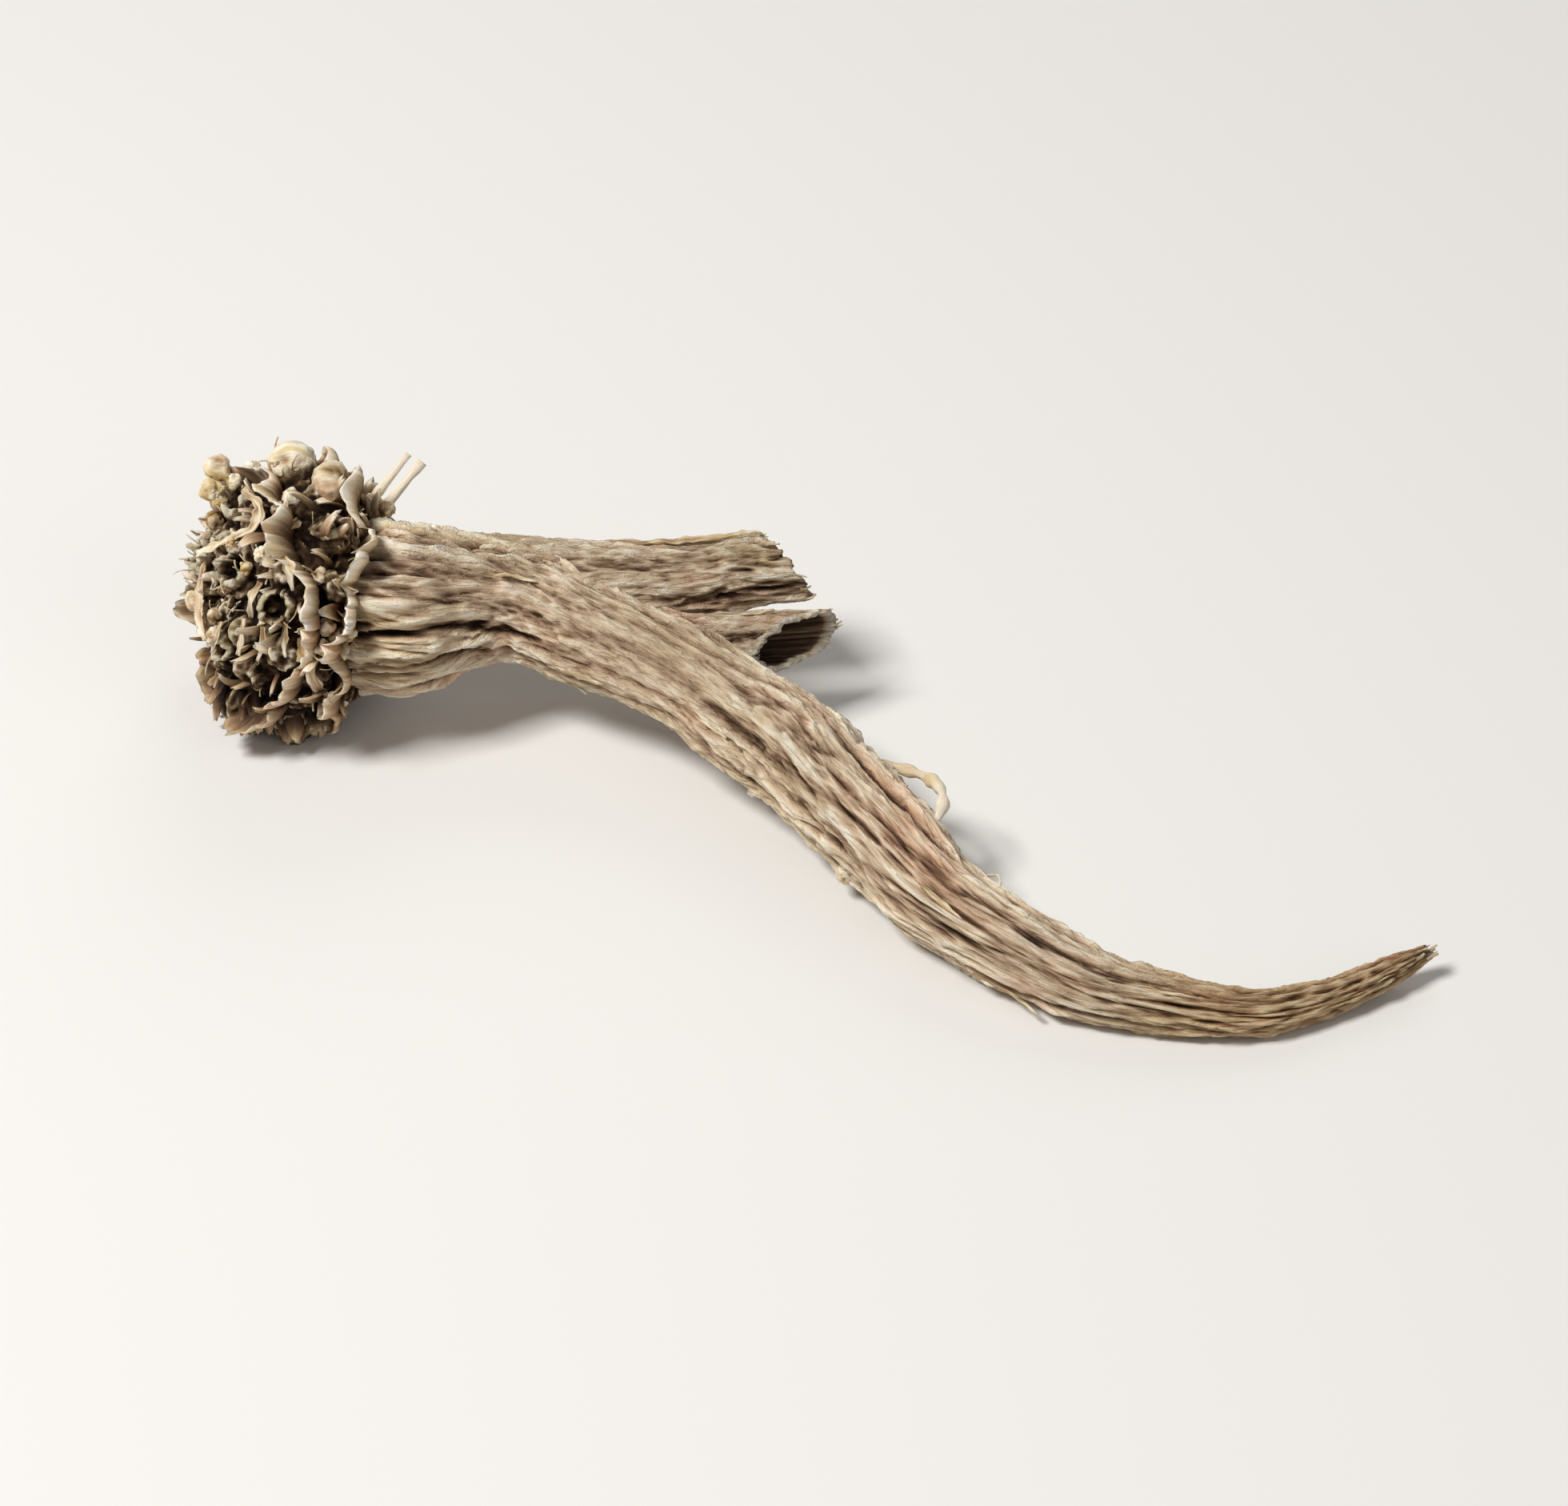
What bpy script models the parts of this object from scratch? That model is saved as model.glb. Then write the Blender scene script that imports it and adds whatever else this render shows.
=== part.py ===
"""A dried pellitory root, lying on its side on a flat surface.

The root grew as one piece, so it is one solid. A knobbly crown of buds, curled leaf bases
and hollow stem stubs is its -X end. The furrowed taproot leaves the crown towards +X, bends
forwards and down, and tapers to a broken tip. Two side roots leave its upper side below the
crown: a short branch that is snapped off, and one that is torn open. All lengths below are
millimetres, and the finished mesh is scaled to metres. The origin is under the middle of the
root, on the surface that it lies on.
"""
import math
import random

import bmesh
import bpy
import numpy as np
from mathutils import Matrix, Vector, noise

NAME = "pellitory_root"
METRES_PER_MM = 0.001
SEED = 7

# Place of the bounding box's middle, measured from the crown's middle
MIDDLE_X = 35.7
MIDDLE_Y = -15.2

# Taproot: x, y, height above the surface and radius of each station along its middle line
TAPROOT = [
    (0.0, 0.0, 9.0, 5.5),
    (7.8, -1.8, 8.9, 6.3),
    (12.2, -1.2, 8.7, 4.9),
    (16.7, -1.2, 8.4, 4.1),
    (22.8, -4.3, 7.7, 3.5),
    (28.0, -7.5, 6.9, 3.6),
    (32.4, -11.2, 6.3, 3.9),
    (36.4, -14.9, 5.7, 4.1),
    (42.1, -22.4, 4.6, 3.7),
    (46.9, -29.2, 3.65, 3.2),
    (53.0, -34.1, 2.75, 2.9),
    (58.0, -37.0, 2.15, 2.4),
    (66.6, -38.5, 1.5, 1.7),
    (72.6, -36.9, 1.3, 1.3),
    (77.4, -34.4, 1.6, 1.05),
    (80.4, -32.7, 2.1, 0.8),
]
TAPROOT_RINGS = 53
TAPROOT_RIDGES = 12
TAPROOT_FIELD = 0.0

# Side branch, which splits off below the crown and is snapped off short
BRANCH = [
    (8.0, 0.6, 9.2, 3.0),
    (13.5, 1.2, 9.0, 3.3),
    (18.6, 1.6, 8.9, 3.2),
    (23.4, 1.6, 9.2, 2.95),
    (28.0, 1.6, 9.4, 2.85),
    (32.4, 2.3, 9.5, 2.75),
    (35.8, 2.7, 9.5, 2.55),
]
BRANCH_RINGS = 13
BRANCH_RIDGES = 6
BRANCH_FIELD = 90.0
BRANCH_SLANT = 1.3
BRANCH_REACH = 5.0
BRANCH_LOW_SIDE = (1.0, -1.0)

# Torn side root between the branch and the taproot, hollow and open on its near side
TORN_ROOT = [
    (20.5, -3.6, 7.9, 2.6),
    (25.5, -4.4, 7.0, 2.4),
    (29.0, -4.6, 7.1, 2.35),
    (32.5, -4.3, 7.5, 2.2),
    (36.5, -4.1, 7.7, 2.05),
]
TORN_ROOT_RINGS = 9
TORN_ROOT_RIDGES = 5
TORN_ROOT_FIELD = 140.0
TORN_ROOT_SLANT = 3.2
TORN_ROOT_REACH = 9.0
TORN_ROOT_LOW_SIDE = (0.1, 1.0)
TORN_ROOT_WALL = 0.55
TORN_ROOT_HOLLOW = 6.0

# Relief of the shrunken bark, as shares of the local radius. Each pattern has a length along
# the root, a spread round it, and its own field of the noise
PATH_STEPS = 20
SIDES_PER_RIDGE = 3
CREST_FULLNESS = 0.8
FURROW_DEPTH = 0.22
FADING = 0.9
FADING_LENGTH = 7.0
FADING_SPREAD = 1.9
FADING_FIELD = 57.0
SWELLING = 0.09
SWELLING_LENGTH = 9.0
SWELLING_SPREAD = 0.8
SWELLING_FIELD = 31.0
DRIFT = 0.30
DRIFT_LENGTH = 16.0
DRIFT_SPREAD = 1.2
SNAKING = 0.11
SNAKING_LENGTH = 6.0
SNAKING_SPREAD = 2.0
SNAKING_FIELD = 13.0
BREAK_ROUGHNESS = 0.35

# Smoother bark on the upper side of the taproot, where the side roots leave it
CALM = 0.65
CALM_PLACE = 30.0
CALM_LENGTH = 9.0
CALM_SIDE = 0.6

# Crown: a squat head turned forwards and up from the taproot's line
CROWN_CENTRE = Vector((0.0, 0.0, 9.0))
CROWN_AXIS = Vector((-0.87, -0.38, 0.32)).normalized()
CROWN_ALONG = 6.6
CROWN_ACROSS = 8.1
CROWN_DISH = 0.22
CROWN_DISH_ANGLE = 0.60
CORE_LUMPS = 0.08
CORE_LUMP_SCALE = 2.6
GOLDEN_ANGLE = math.pi * (3.0 - math.sqrt(5.0))

# Belts of buds: angles from the crown's axis in degrees, how many, least and greatest radius
FACE_BUDS = (0.0, 64.0, 20, 1.1, 1.7)
BUD_BELTS = [
    (80.0, 90.0, 14, 1.25, 1.75),
    (108.0, 130.0, 11, 1.35, 2.0),
]
BUD_SINK = 0.38
BUD_LUMPS = 0.12
BUD_LUMP_SCALE = 0.9
BUD_FIELD = 40.0

# Buds pressed flat under the crown, which it lies on: x, y, radius and height
FEET = [
    (-3.6, -3.6, 2.3, 6.0),
    (-0.4, -5.2, 1.8, 5.6),
    (0.4, 5.3, 2.2, 6.2),
    (3.6, 4.6, 1.8, 5.8),
]
FOOT_CUT = 0.7

# Frills of dry leaf bases: angle from the crown's axis in degrees, lobes and height
FRILLS = [(98.0, 11, 2.7), (71.0, 9, 2.4)]
FRILL_THICKNESS = 0.75
FRILL_STEPS_A_LOBE = 4
FRILL_STEPS_UP = 3
FRILL_ROOT = 1.2
FRILL_WAVE = 0.75
FRILL_CURL = 1.5
FRILL_WANDER = 0.24
FRILL_TEAR = 1.5
FRILL_CLEARANCE = 0.3
FRILL_SPREAD = 2.2
FRILL_ARCH = 1.4
FRILL_SET_BACK = 0.3
FRILL_TEAR_LIMITS = (0.2, 1.25)
FRILL_LOBE_FULLNESS = 0.7
FRILL_CRUMPLE = 1.2
FRILL_CRUMPLE_SCALE = 1.7
FRILL_WANDER_SCALE = 0.6

# Hollow stubs of last season's stems, on the crown's skin: angle from its axis and turn
# about it in degrees, radius, and how far the stub stands out
STEMS = [
    (22.0, 20.0, 1.45, 2.2),
    (36.0, 150.0, 1.3, 1.8),
    (40.0, 265.0, 1.4, 2.0),
    (54.0, 325.0, 1.25, 2.2),
    (56.0, 70.0, 1.3, 1.8),
    (89.0, 326.0, 1.75, 2.3),
]
STEM_ROOT = 2.4
STEM_SIDES = 9
STEM_LEAN = Vector((-0.25, -0.35, 0.5))
STEM_SLANT = 0.9
STEM_LEAN_SHARE = 0.5
STEM_FLARE = 1.25
STEM_WALL = 0.62
STEM_HOLE_DEPTH = 1.6
STEM_HOLE_TAPER = 0.8
STEM_TORN = 0.25

# Slab under the surface that trims the root flat where it lies: size and middle
SLAB_SIZE = (300.0, 300.0, 20.0)
SLAB_MIDDLE = (30.0, 0.0, -10.0)
SHARP_EDGE_DEGREES = 40.0

BARK_COLOUR = (0.503, 0.371, 0.258, 1.0)
BARK_ROUGHNESS = 0.85


def clear_scene():
    """Remove what the file starts with, objects and collections alike."""
    for old in list(bpy.data.objects):
        bpy.data.objects.remove(old, do_unlink=True)
    for old in list(bpy.data.collections):
        bpy.data.collections.remove(old)


def new_collection(name):
    group = bpy.data.collections.new(name)
    bpy.context.scene.collection.children.link(group)
    return group


def add_object(name, bm, group):
    """Turn a bmesh into an object in a collection, with its faces pointing out."""
    bmesh.ops.recalc_face_normals(bm, faces=bm.faces)
    mesh = bpy.data.meshes.new(name)
    bm.to_mesh(mesh)
    bm.free()
    piece = bpy.data.objects.new(name, mesh)
    group.objects.link(piece)
    return piece


def sample_path(stations, count):
    """Points evenly along a smooth curve through the stations, and their distances along it."""
    rows = np.array(stations)
    ends = [2 * rows[0] - rows[1], 2 * rows[-1] - rows[-2]]
    held = np.vstack([ends[0], rows, ends[1]])
    fine = []
    for before, start, end, after in zip(held, held[1:], held[2:], held[3:]):
        for t in np.linspace(0.0, 1.0, PATH_STEPS, endpoint=False):
            bend = (2 * before - 5 * start + 4 * end - after) * t * t
            turn = (3 * start - before - 3 * end + after) * t * t * t
            fine.append(0.5 * (2 * start + (end - before) * t + bend + turn))
    fine.append(rows[-1])
    fine = np.array(fine)
    gaps = np.linalg.norm(np.diff(fine[:, :3], axis=0), axis=1)
    reach = np.concatenate([[0.0], np.cumsum(gaps)])
    along = np.linspace(0.0, reach[-1], count)
    columns = [np.interp(along, reach, fine[:, k]) for k in range(4)]
    return np.column_stack(columns), along


def path_frames(points):
    """At each point, the direction of the path and the directions up and to the near side."""
    tangents = np.gradient(points[:, :3], axis=0)
    frames = []
    for row in tangents:
        ahead = Vector(row).normalized()
        near = ahead.cross(Vector((0.0, 0.0, 1.0))).normalized()
        frames.append((ahead, near.cross(ahead), near))
    return frames


def loft(rings):
    """A closed skin over rings of points, each end shut by a fan round its middle."""
    bm = bmesh.new()
    rows = [[bm.verts.new(p) for p in ring] for ring in rings]
    sides = len(rows[0])
    for lower, upper in zip(rows, rows[1:]):
        for i in range(sides):
            j = (i + 1) % sides
            bm.faces.new((lower[i], lower[j], upper[j], upper[i]))
    for ring in (rows[0], rows[-1]):
        middle = bm.verts.new(sum((v.co for v in ring), Vector()) / sides)
        for i in range(sides):
            bm.faces.new((ring[i], ring[(i + 1) % sides], middle))
    return bm


def bark_place(angle, along, scale, offset):
    """A spot in the noise field that closes on itself round the root."""
    return Vector((math.cos(angle) * scale, math.sin(angle) * scale, along + offset))


def ridge_drift(angle, along, field):
    """How far a ridge has wandered round the root, in radians."""
    drift = noise.noise(bark_place(angle, along / DRIFT_LENGTH, DRIFT_SPREAD, field))
    place = bark_place(angle, along / SNAKING_LENGTH, SNAKING_SPREAD, field + SNAKING_FIELD)
    return DRIFT * drift + SNAKING * noise.noise(place)


def bark_calm(angle, along):
    """Share of the furrows that is left on the taproot's smoother part."""
    from_place = (along - CALM_PLACE) / CALM_LENGTH
    upper_side = 0.5 + 0.5 * math.cos(angle - CALM_SIDE)
    return 1.0 - CALM * math.exp(-(from_place ** 2)) * upper_side


def bark_radius(radius, angle, along, crest, field):
    """Radius of the bark, where crest is 1 on top of a ridge and 0 in a furrow."""
    place = bark_place(angle, along / SWELLING_LENGTH, SWELLING_SPREAD, field + SWELLING_FIELD)
    swell = SWELLING * noise.noise(place)
    place = bark_place(angle, along / FADING_LENGTH, FADING_SPREAD, field + FADING_FIELD)
    depth = FURROW_DEPTH * (1.0 + FADING * noise.noise(place))
    return radius * (1.0 + swell - depth * (1.0 - crest))


def ridged_tube(name, stations, rings, ridges, field, group, slant=0.0, reach=1.0, low=(0, 0),
                wall=0.0, hollow=0.0, calm=False):
    """A root whose mesh columns run along the crests and furrows of its bark.

    Its end is cut on a slant that begins at reach before the end. low says how far the low
    side of the cut faces up and to the near side. With a wall, the end is hollow.
    """
    points, along = sample_path(stations, rings)
    frames = path_frames(points)
    sides = ridges * SIDES_PER_RIDGE
    skin = []
    for row, (ahead, up, near), place in zip(points, frames, along):
        cut = max(0.0, 1.0 - (along[-1] - place) / reach) ** 2
        ring = []
        for i in range(sides):
            even = math.tau * i / sides
            crest = (0.5 + 0.5 * math.cos(ridges * even)) ** CREST_FULLNESS
            angle = even - ridge_drift(even, place, field)
            if calm:
                crest = 1.0 - (1.0 - crest) * bark_calm(angle, place)
            radius = bark_radius(row[3], angle, place, crest, field)
            side = up * math.cos(angle) + near * math.sin(angle)
            lowness = low[0] * math.cos(angle) + low[1] * math.sin(angle)
            jag = BREAK_ROUGHNESS * math.sin(2.4 * i) * math.cos(0.9 * i)
            ring.append(Vector(row[:3]) + side * radius + ahead * cut * (jag - slant * lowness))
        skin.append(ring)
    if wall > 0.0:
        ahead = frames[-1][0]
        middle = sum(skin[-1], Vector()) / sides
        floor = Vector(points[-1][:3]) - ahead * hollow
        inner = [p + (middle - p).normalized() * wall for p in skin[-1]]
        thinned = 1.0 - wall / stations[-1][3]
        deep = []
        for corner in skin[-1]:
            from_axis = corner - Vector(points[-1][:3])
            from_axis -= ahead * from_axis.dot(ahead)
            deep.append(floor + from_axis * thinned)
        skin += [inner, deep]
    return add_object(name, loft(skin), group)


def stem_stub(name, base, direction, radius, length, group):
    """The hollow stub of a stem, with a torn mouth that is lower on its near side."""
    ahead = Vector(direction).normalized()
    turn = ahead.to_track_quat("Z", "Y").to_matrix()
    start = Vector(base)
    inside = radius - STEM_WALL
    outline = [
        (radius * STEM_FLARE, 0.0, 0.0),
        (radius, length, 1.0),
        (inside, length - 0.1, 1.0),
        (inside * STEM_HOLE_TAPER, length - STEM_HOLE_DEPTH, 0.35),
    ]
    rings = []
    for size, height, share in outline:
        ring = []
        for i in range(STEM_SIDES):
            angle = math.tau * i / STEM_SIDES
            side = turn @ Vector((math.cos(angle), math.sin(angle), 0.0))
            torn = STEM_TORN * math.sin(2.2 * i + radius * 9.0)
            drop = STEM_SLANT * 0.5 * (1.0 + side.dot(STEM_LEAN))
            ring.append(start + side * size + ahead * (height + share * (torn - drop)))
        rings.append(ring)
    return add_object(name, loft(rings), group)


def crown_direction(from_axis, about_axis):
    """Unit direction at an angle from the crown's axis, turned about it from straight up."""
    up = Vector((0.0, 0.0, 1.0))
    up = (up - CROWN_AXIS * up.dot(CROWN_AXIS)).normalized()
    near = up.cross(CROWN_AXIS)
    across = up * math.cos(about_axis) + near * math.sin(about_axis)
    return CROWN_AXIS * math.cos(from_axis) + across * math.sin(from_axis)


def crown_reach(from_axis):
    """Distance from the crown's middle to its skin: a squat dome with a dished face."""
    along = math.cos(from_axis) / CROWN_ALONG
    across = math.sin(from_axis) / CROWN_ACROSS
    dish = CROWN_DISH * math.exp(-((from_axis / CROWN_DISH_ANGLE) ** 2))
    return (1.0 - dish) / math.hypot(along, across)


def crown_core(group):
    """The head that carries the buds, lumpy where buds have died back."""
    bm = bmesh.new()
    bmesh.ops.create_icosphere(bm, subdivisions=3, radius=1.0)
    for corner in bm.verts:
        way = corner.co.normalized()
        reach = crown_reach(way.angle(CROWN_AXIS))
        lumps = 1.0 + CORE_LUMPS * noise.noise(way * CORE_LUMP_SCALE)
        corner.co = CROWN_CENTRE + way * reach * lumps
    return add_object("crown_core", bm, group)


def bud(name, way, reach, radius, stretch, group):
    """One rounded bud, a little longer than wide, that stands out of the crown."""
    bm = bmesh.new()
    bmesh.ops.create_icosphere(bm, subdivisions=2, radius=radius)
    turn = way.to_track_quat("Z", "Y").to_matrix()
    centre = CROWN_CENTRE + way * (reach - radius * BUD_SINK)
    for corner in bm.verts:
        lumps = 1.0 + BUD_LUMPS * noise.noise(corner.co * BUD_LUMP_SCALE + way * BUD_FIELD)
        local = Vector((corner.co.x, corner.co.y, corner.co.z * stretch)) * lumps
        corner.co = centre + turn @ local
    return add_object(name, bm, group)


def crown_buds(draw, group):
    """Buds spread evenly over the crown's face, and in belts behind and between the frills."""
    first, last, count, smallest, largest = FACE_BUDS
    for i in range(count):
        share = math.sqrt((i + 0.5) / count)
        from_axis = math.radians(first + (last - first) * share)
        about = i * GOLDEN_ANGLE + draw.uniform(-0.15, 0.15)
        radius = draw.uniform(smallest, largest)
        way = crown_direction(from_axis, about)
        bud(f"face_bud_{i}", way, crown_reach(from_axis), radius, draw.uniform(1.1, 1.5), group)
    for belt, (first, last, count, smallest, largest) in enumerate(BUD_BELTS):
        for i in range(count):
            from_axis = math.radians(draw.uniform(first, last))
            about = math.tau * (i + draw.uniform(-0.25, 0.25)) / count
            radius = draw.uniform(smallest, largest)
            way = crown_direction(from_axis, about)
            stretch = draw.uniform(1.0, 1.4)
            bud(f"belt_bud_{belt}_{i}", way, crown_reach(from_axis), radius, stretch, group)


def crown_feet(group):
    """The buds that the crown lies on, which reach a little below the surface's level."""
    for i, (x, y, radius, height) in enumerate(FEET):
        bm = bmesh.new()
        bmesh.ops.create_icosphere(bm, subdivisions=2, radius=1.0)
        bmesh.ops.scale(bm, verts=bm.verts, vec=(radius, radius, height / 2))
        bmesh.ops.translate(bm, verts=bm.verts, vec=(x, y, height / 2 - FOOT_CUT))
        add_object(f"foot_{i}", bm, group)


def headroom(way):
    """Distance from the crown's middle to the clearance above the surface, going one way."""
    if way.z > -0.1:
        return 100.0
    return (CROWN_CENTRE.z - FRILL_CLEARANCE) / -way.z


def frill(name, degrees, lobes, height, draw, group):
    """A ring of dry leaf bases joined at their roots: a lobed, waved blade round the crown."""
    bm = bmesh.new()
    bmesh.ops.create_grid(
        bm, x_segments=lobes * FRILL_STEPS_A_LOBE, y_segments=FRILL_STEPS_UP, size=1.0
    )
    phase = draw.uniform(0.0, math.tau)
    for corner in bm.verts:
        about = math.pi * corner.co.x
        up = 0.5 + 0.5 * corner.co.y
        ring_spot = Vector((math.cos(about), math.sin(about), phase)) * FRILL_SPREAD
        least, most = FRILL_TEAR_LIMITS
        torn = min(most, max(least, 1.0 + FRILL_TEAR * noise.noise(ring_spot)))
        lobe = abs(math.cos(0.5 * lobes * about + phase)) ** FRILL_LOBE_FULLNESS
        crumple = FRILL_CRUMPLE * noise.noise(ring_spot * FRILL_CRUMPLE_SCALE)
        wave = math.sin(lobes * about + 2.0 * phase) + crumple
        wander = FRILL_WANDER * noise.noise(ring_spot * FRILL_WANDER_SCALE)
        from_axis = math.radians(degrees) + wander
        way = crown_direction(from_axis, about)
        reach = crown_reach(from_axis)
        tall = min(height * torn * (0.5 + 0.5 * lobe), headroom(way) - reach)
        rise = (tall + FRILL_ROOT) * math.sin(FRILL_ARCH * up) - FRILL_ROOT
        forward = FRILL_CURL * up ** 3 + FRILL_WAVE * wave * up - FRILL_SET_BACK
        corner.co = CROWN_CENTRE + way * (reach + rise) + CROWN_AXIS * forward
    bmesh.ops.remove_doubles(bm, verts=bm.verts, dist=0.001)
    bmesh.ops.triangulate(bm, faces=bm.faces)
    piece = add_object(name, bm, group)
    shell = piece.modifiers.new("thickness", "SOLIDIFY")
    shell.thickness = FRILL_THICKNESS
    shell.offset = 0.0


def crown_stems(group):
    """Hollow stubs of last season's stems, which lean out from the crown's skin."""
    for i, (degrees, turn, radius, stands) in enumerate(STEMS):
        from_axis = math.radians(degrees)
        way = crown_direction(from_axis, math.radians(turn))
        base = CROWN_CENTRE + way * (crown_reach(from_axis) - STEM_ROOT)
        direction = way + STEM_LEAN * STEM_LEAN_SHARE
        stem_stub(f"stem_{i}", base, direction, radius, stands + STEM_ROOT, group)


def solid_copy(piece):
    """The piece with its modifiers applied, as a plain mesh."""
    graph = bpy.context.evaluated_depsgraph_get()
    return bpy.data.meshes.new_from_object(piece.evaluated_get(graph))


def apply_boolean(base, operation, group):
    """Join or cut one object with every object of a collection, then remove those."""
    change = base.modifiers.new(operation.lower(), "BOOLEAN")
    change.operation = operation
    change.operand_type = "COLLECTION"
    change.collection = group
    change.solver = "EXACT"
    mesh = solid_copy(base)
    base.modifiers.clear()
    base.data = mesh
    for used in list(group.objects):
        bpy.data.objects.remove(used, do_unlink=True)
    bpy.data.collections.remove(group)


def surface_cutter(group):
    """A slab under the surface, which leaves flat spots where the root lies on it."""
    bm = bmesh.new()
    bmesh.ops.create_cube(bm, size=1.0)
    bmesh.ops.scale(bm, verts=bm.verts, vec=SLAB_SIZE)
    bmesh.ops.translate(bm, verts=bm.verts, vec=SLAB_MIDDLE)
    slab = add_object("surface_slab", bm, group)
    slab.hide_render = True
    slab.display_type = "WIRE"


def bark_material():
    bark = bpy.data.materials.new("dried_root_bark")
    bark.use_nodes = True
    shader = bark.node_tree.nodes["Principled BSDF"]
    shader.inputs["Base Color"].default_value = BARK_COLOUR
    shader.inputs["Roughness"].default_value = BARK_ROUGHNESS
    shader.inputs["Metallic"].default_value = 0.0
    return bark


def finish(root):
    """Bring the root to metres round its own origin, and shade the bark smooth but for edges."""
    root.data.transform(Matrix.Translation((-MIDDLE_X, -MIDDLE_Y, 0.0)))
    root.data.transform(Matrix.Scale(METRES_PER_MM, 4))
    root.data.materials.clear()
    root.data.materials.append(bark_material())
    root.data.shade_smooth()
    root.data.set_sharp_from_angle(angle=math.radians(SHARP_EDGE_DEGREES))


def main():
    clear_scene()
    draw = random.Random(SEED)
    plant = new_collection(NAME)
    pieces = new_collection("joined_pieces")
    root = ridged_tube(NAME, TAPROOT, TAPROOT_RINGS, TAPROOT_RIDGES, TAPROOT_FIELD, plant,
                       calm=True)
    ridged_tube("branch", BRANCH, BRANCH_RINGS, BRANCH_RIDGES, BRANCH_FIELD, pieces,
                slant=BRANCH_SLANT, reach=BRANCH_REACH, low=BRANCH_LOW_SIDE)
    ridged_tube("torn_root", TORN_ROOT, TORN_ROOT_RINGS, TORN_ROOT_RIDGES, TORN_ROOT_FIELD,
                pieces, slant=TORN_ROOT_SLANT, reach=TORN_ROOT_REACH, low=TORN_ROOT_LOW_SIDE,
                wall=TORN_ROOT_WALL, hollow=TORN_ROOT_HOLLOW)
    crown_core(pieces)
    crown_buds(draw, pieces)
    crown_feet(pieces)
    for i, (degrees, lobes, height) in enumerate(FRILLS):
        frill(f"frill_{i}", degrees, lobes, height, draw, pieces)
    crown_stems(pieces)
    apply_boolean(root, "UNION", pieces)
    cutters = new_collection("cutters")
    surface_cutter(cutters)
    apply_boolean(root, "DIFFERENCE", cutters)
    finish(root)


main()
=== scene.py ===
from math import atan2, copysign, cos, exp, hypot, inf, pi, radians, sin, sqrt, tau
from random import Random
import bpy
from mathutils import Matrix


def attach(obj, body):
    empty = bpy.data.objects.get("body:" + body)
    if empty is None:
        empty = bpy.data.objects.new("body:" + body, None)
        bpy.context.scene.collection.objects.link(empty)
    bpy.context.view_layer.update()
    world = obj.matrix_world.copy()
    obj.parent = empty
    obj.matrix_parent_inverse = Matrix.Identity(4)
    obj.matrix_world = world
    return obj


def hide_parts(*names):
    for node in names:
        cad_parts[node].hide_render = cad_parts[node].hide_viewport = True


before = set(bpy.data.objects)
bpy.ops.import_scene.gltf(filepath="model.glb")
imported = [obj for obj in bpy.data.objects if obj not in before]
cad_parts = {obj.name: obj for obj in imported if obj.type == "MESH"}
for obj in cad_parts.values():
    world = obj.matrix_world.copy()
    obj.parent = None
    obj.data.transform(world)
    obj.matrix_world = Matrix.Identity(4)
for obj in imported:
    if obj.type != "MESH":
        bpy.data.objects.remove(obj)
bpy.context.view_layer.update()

from types import SimpleNamespace

import bmesh
import bpy
import numpy as np
from mathutils import Matrix, Vector
from mathutils.noise import noise

# Taproot.
# The woody main root, which shrank as it dried, so that its thin bark is drawn into long
# furrows and a net of fine wrinkles. One skin, lofted along the root's line from the crown.
NODE = "pellitory_root"
BODY = "root"
METRES_PER_MM = 0.001
MIDDLE = Vector((35.7, -15.2, 0.0))
UP = Vector((0.0, 0.0, 1.0))

# x, y, height above the surface and radius of each station, in millimetres from the crown
TAPROOT = [
    (0.0, 0.0, 9.0, 5.5), (7.8, -1.8, 8.9, 6.3), (12.2, -1.2, 8.7, 4.9), (16.7, -1.2, 8.4, 4.1),
    (22.8, -4.3, 7.7, 3.5), (28.0, -7.5, 6.9, 3.6), (32.4, -11.2, 6.3, 3.9),
    (36.4, -14.9, 5.7, 4.1), (42.1, -22.4, 4.6, 3.7), (46.9, -29.2, 3.65, 3.2),
    (53.0, -34.1, 2.75, 2.9), (58.0, -37.0, 2.15, 2.4), (66.6, -38.5, 1.5, 1.7),
    (72.6, -36.9, 1.3, 1.3), (77.4, -34.4, 1.6, 1.05), (80.4, -32.7, 2.1, 0.8),
]

# The side roots are given here too, because the skins are drawn out to meet each other
BRANCH = [
    (8.0, 0.6, 9.2, 3.0), (13.5, 1.2, 9.0, 3.3), (18.6, 1.6, 8.9, 3.2), (23.4, 1.6, 9.2, 2.95),
    (28.0, 1.6, 9.4, 2.85), (32.4, 2.3, 9.5, 2.75), (35.8, 2.7, 9.5, 2.55),
]
TORN_ROOT = [
    (20.5, -3.6, 7.9, 2.6), (25.5, -4.4, 7.0, 2.4), (29.0, -4.6, 7.1, 2.35),
    (32.5, -4.3, 7.5, 2.2), (36.5, -4.1, 7.7, 2.05),
]
WEB = 2.2
PATH_STEPS = 20
FRAME_SPAN = 8

# Broad patterns of the bark: amount, length along the root, spread round it, and own field of
# the noise. The first two move the ridges round the root, in radians
DRIFT = (0.3, 16.0, 1.2, 0.0)
SNAKING = (0.11, 6.0, 2.0, 13.0)
SWELLING = (0.09, 9.0, 0.8, 31.0)
FADING = (0.9, 7.0, 1.9, 57.0)
CREST_FULLNESS = 0.8
FURROW_DEPTH = 0.1364
DEEP_FURROWS = 4.2

# The smooth plate at the fork: where its furrows are shallow, along the root and round it
CALM = 0.65
CALM_PLACE = 30.0
CALM_LENGTH = 9.0
CALM_SIDE = 0.6
CALM_WRINKLES = 0.8

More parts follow.
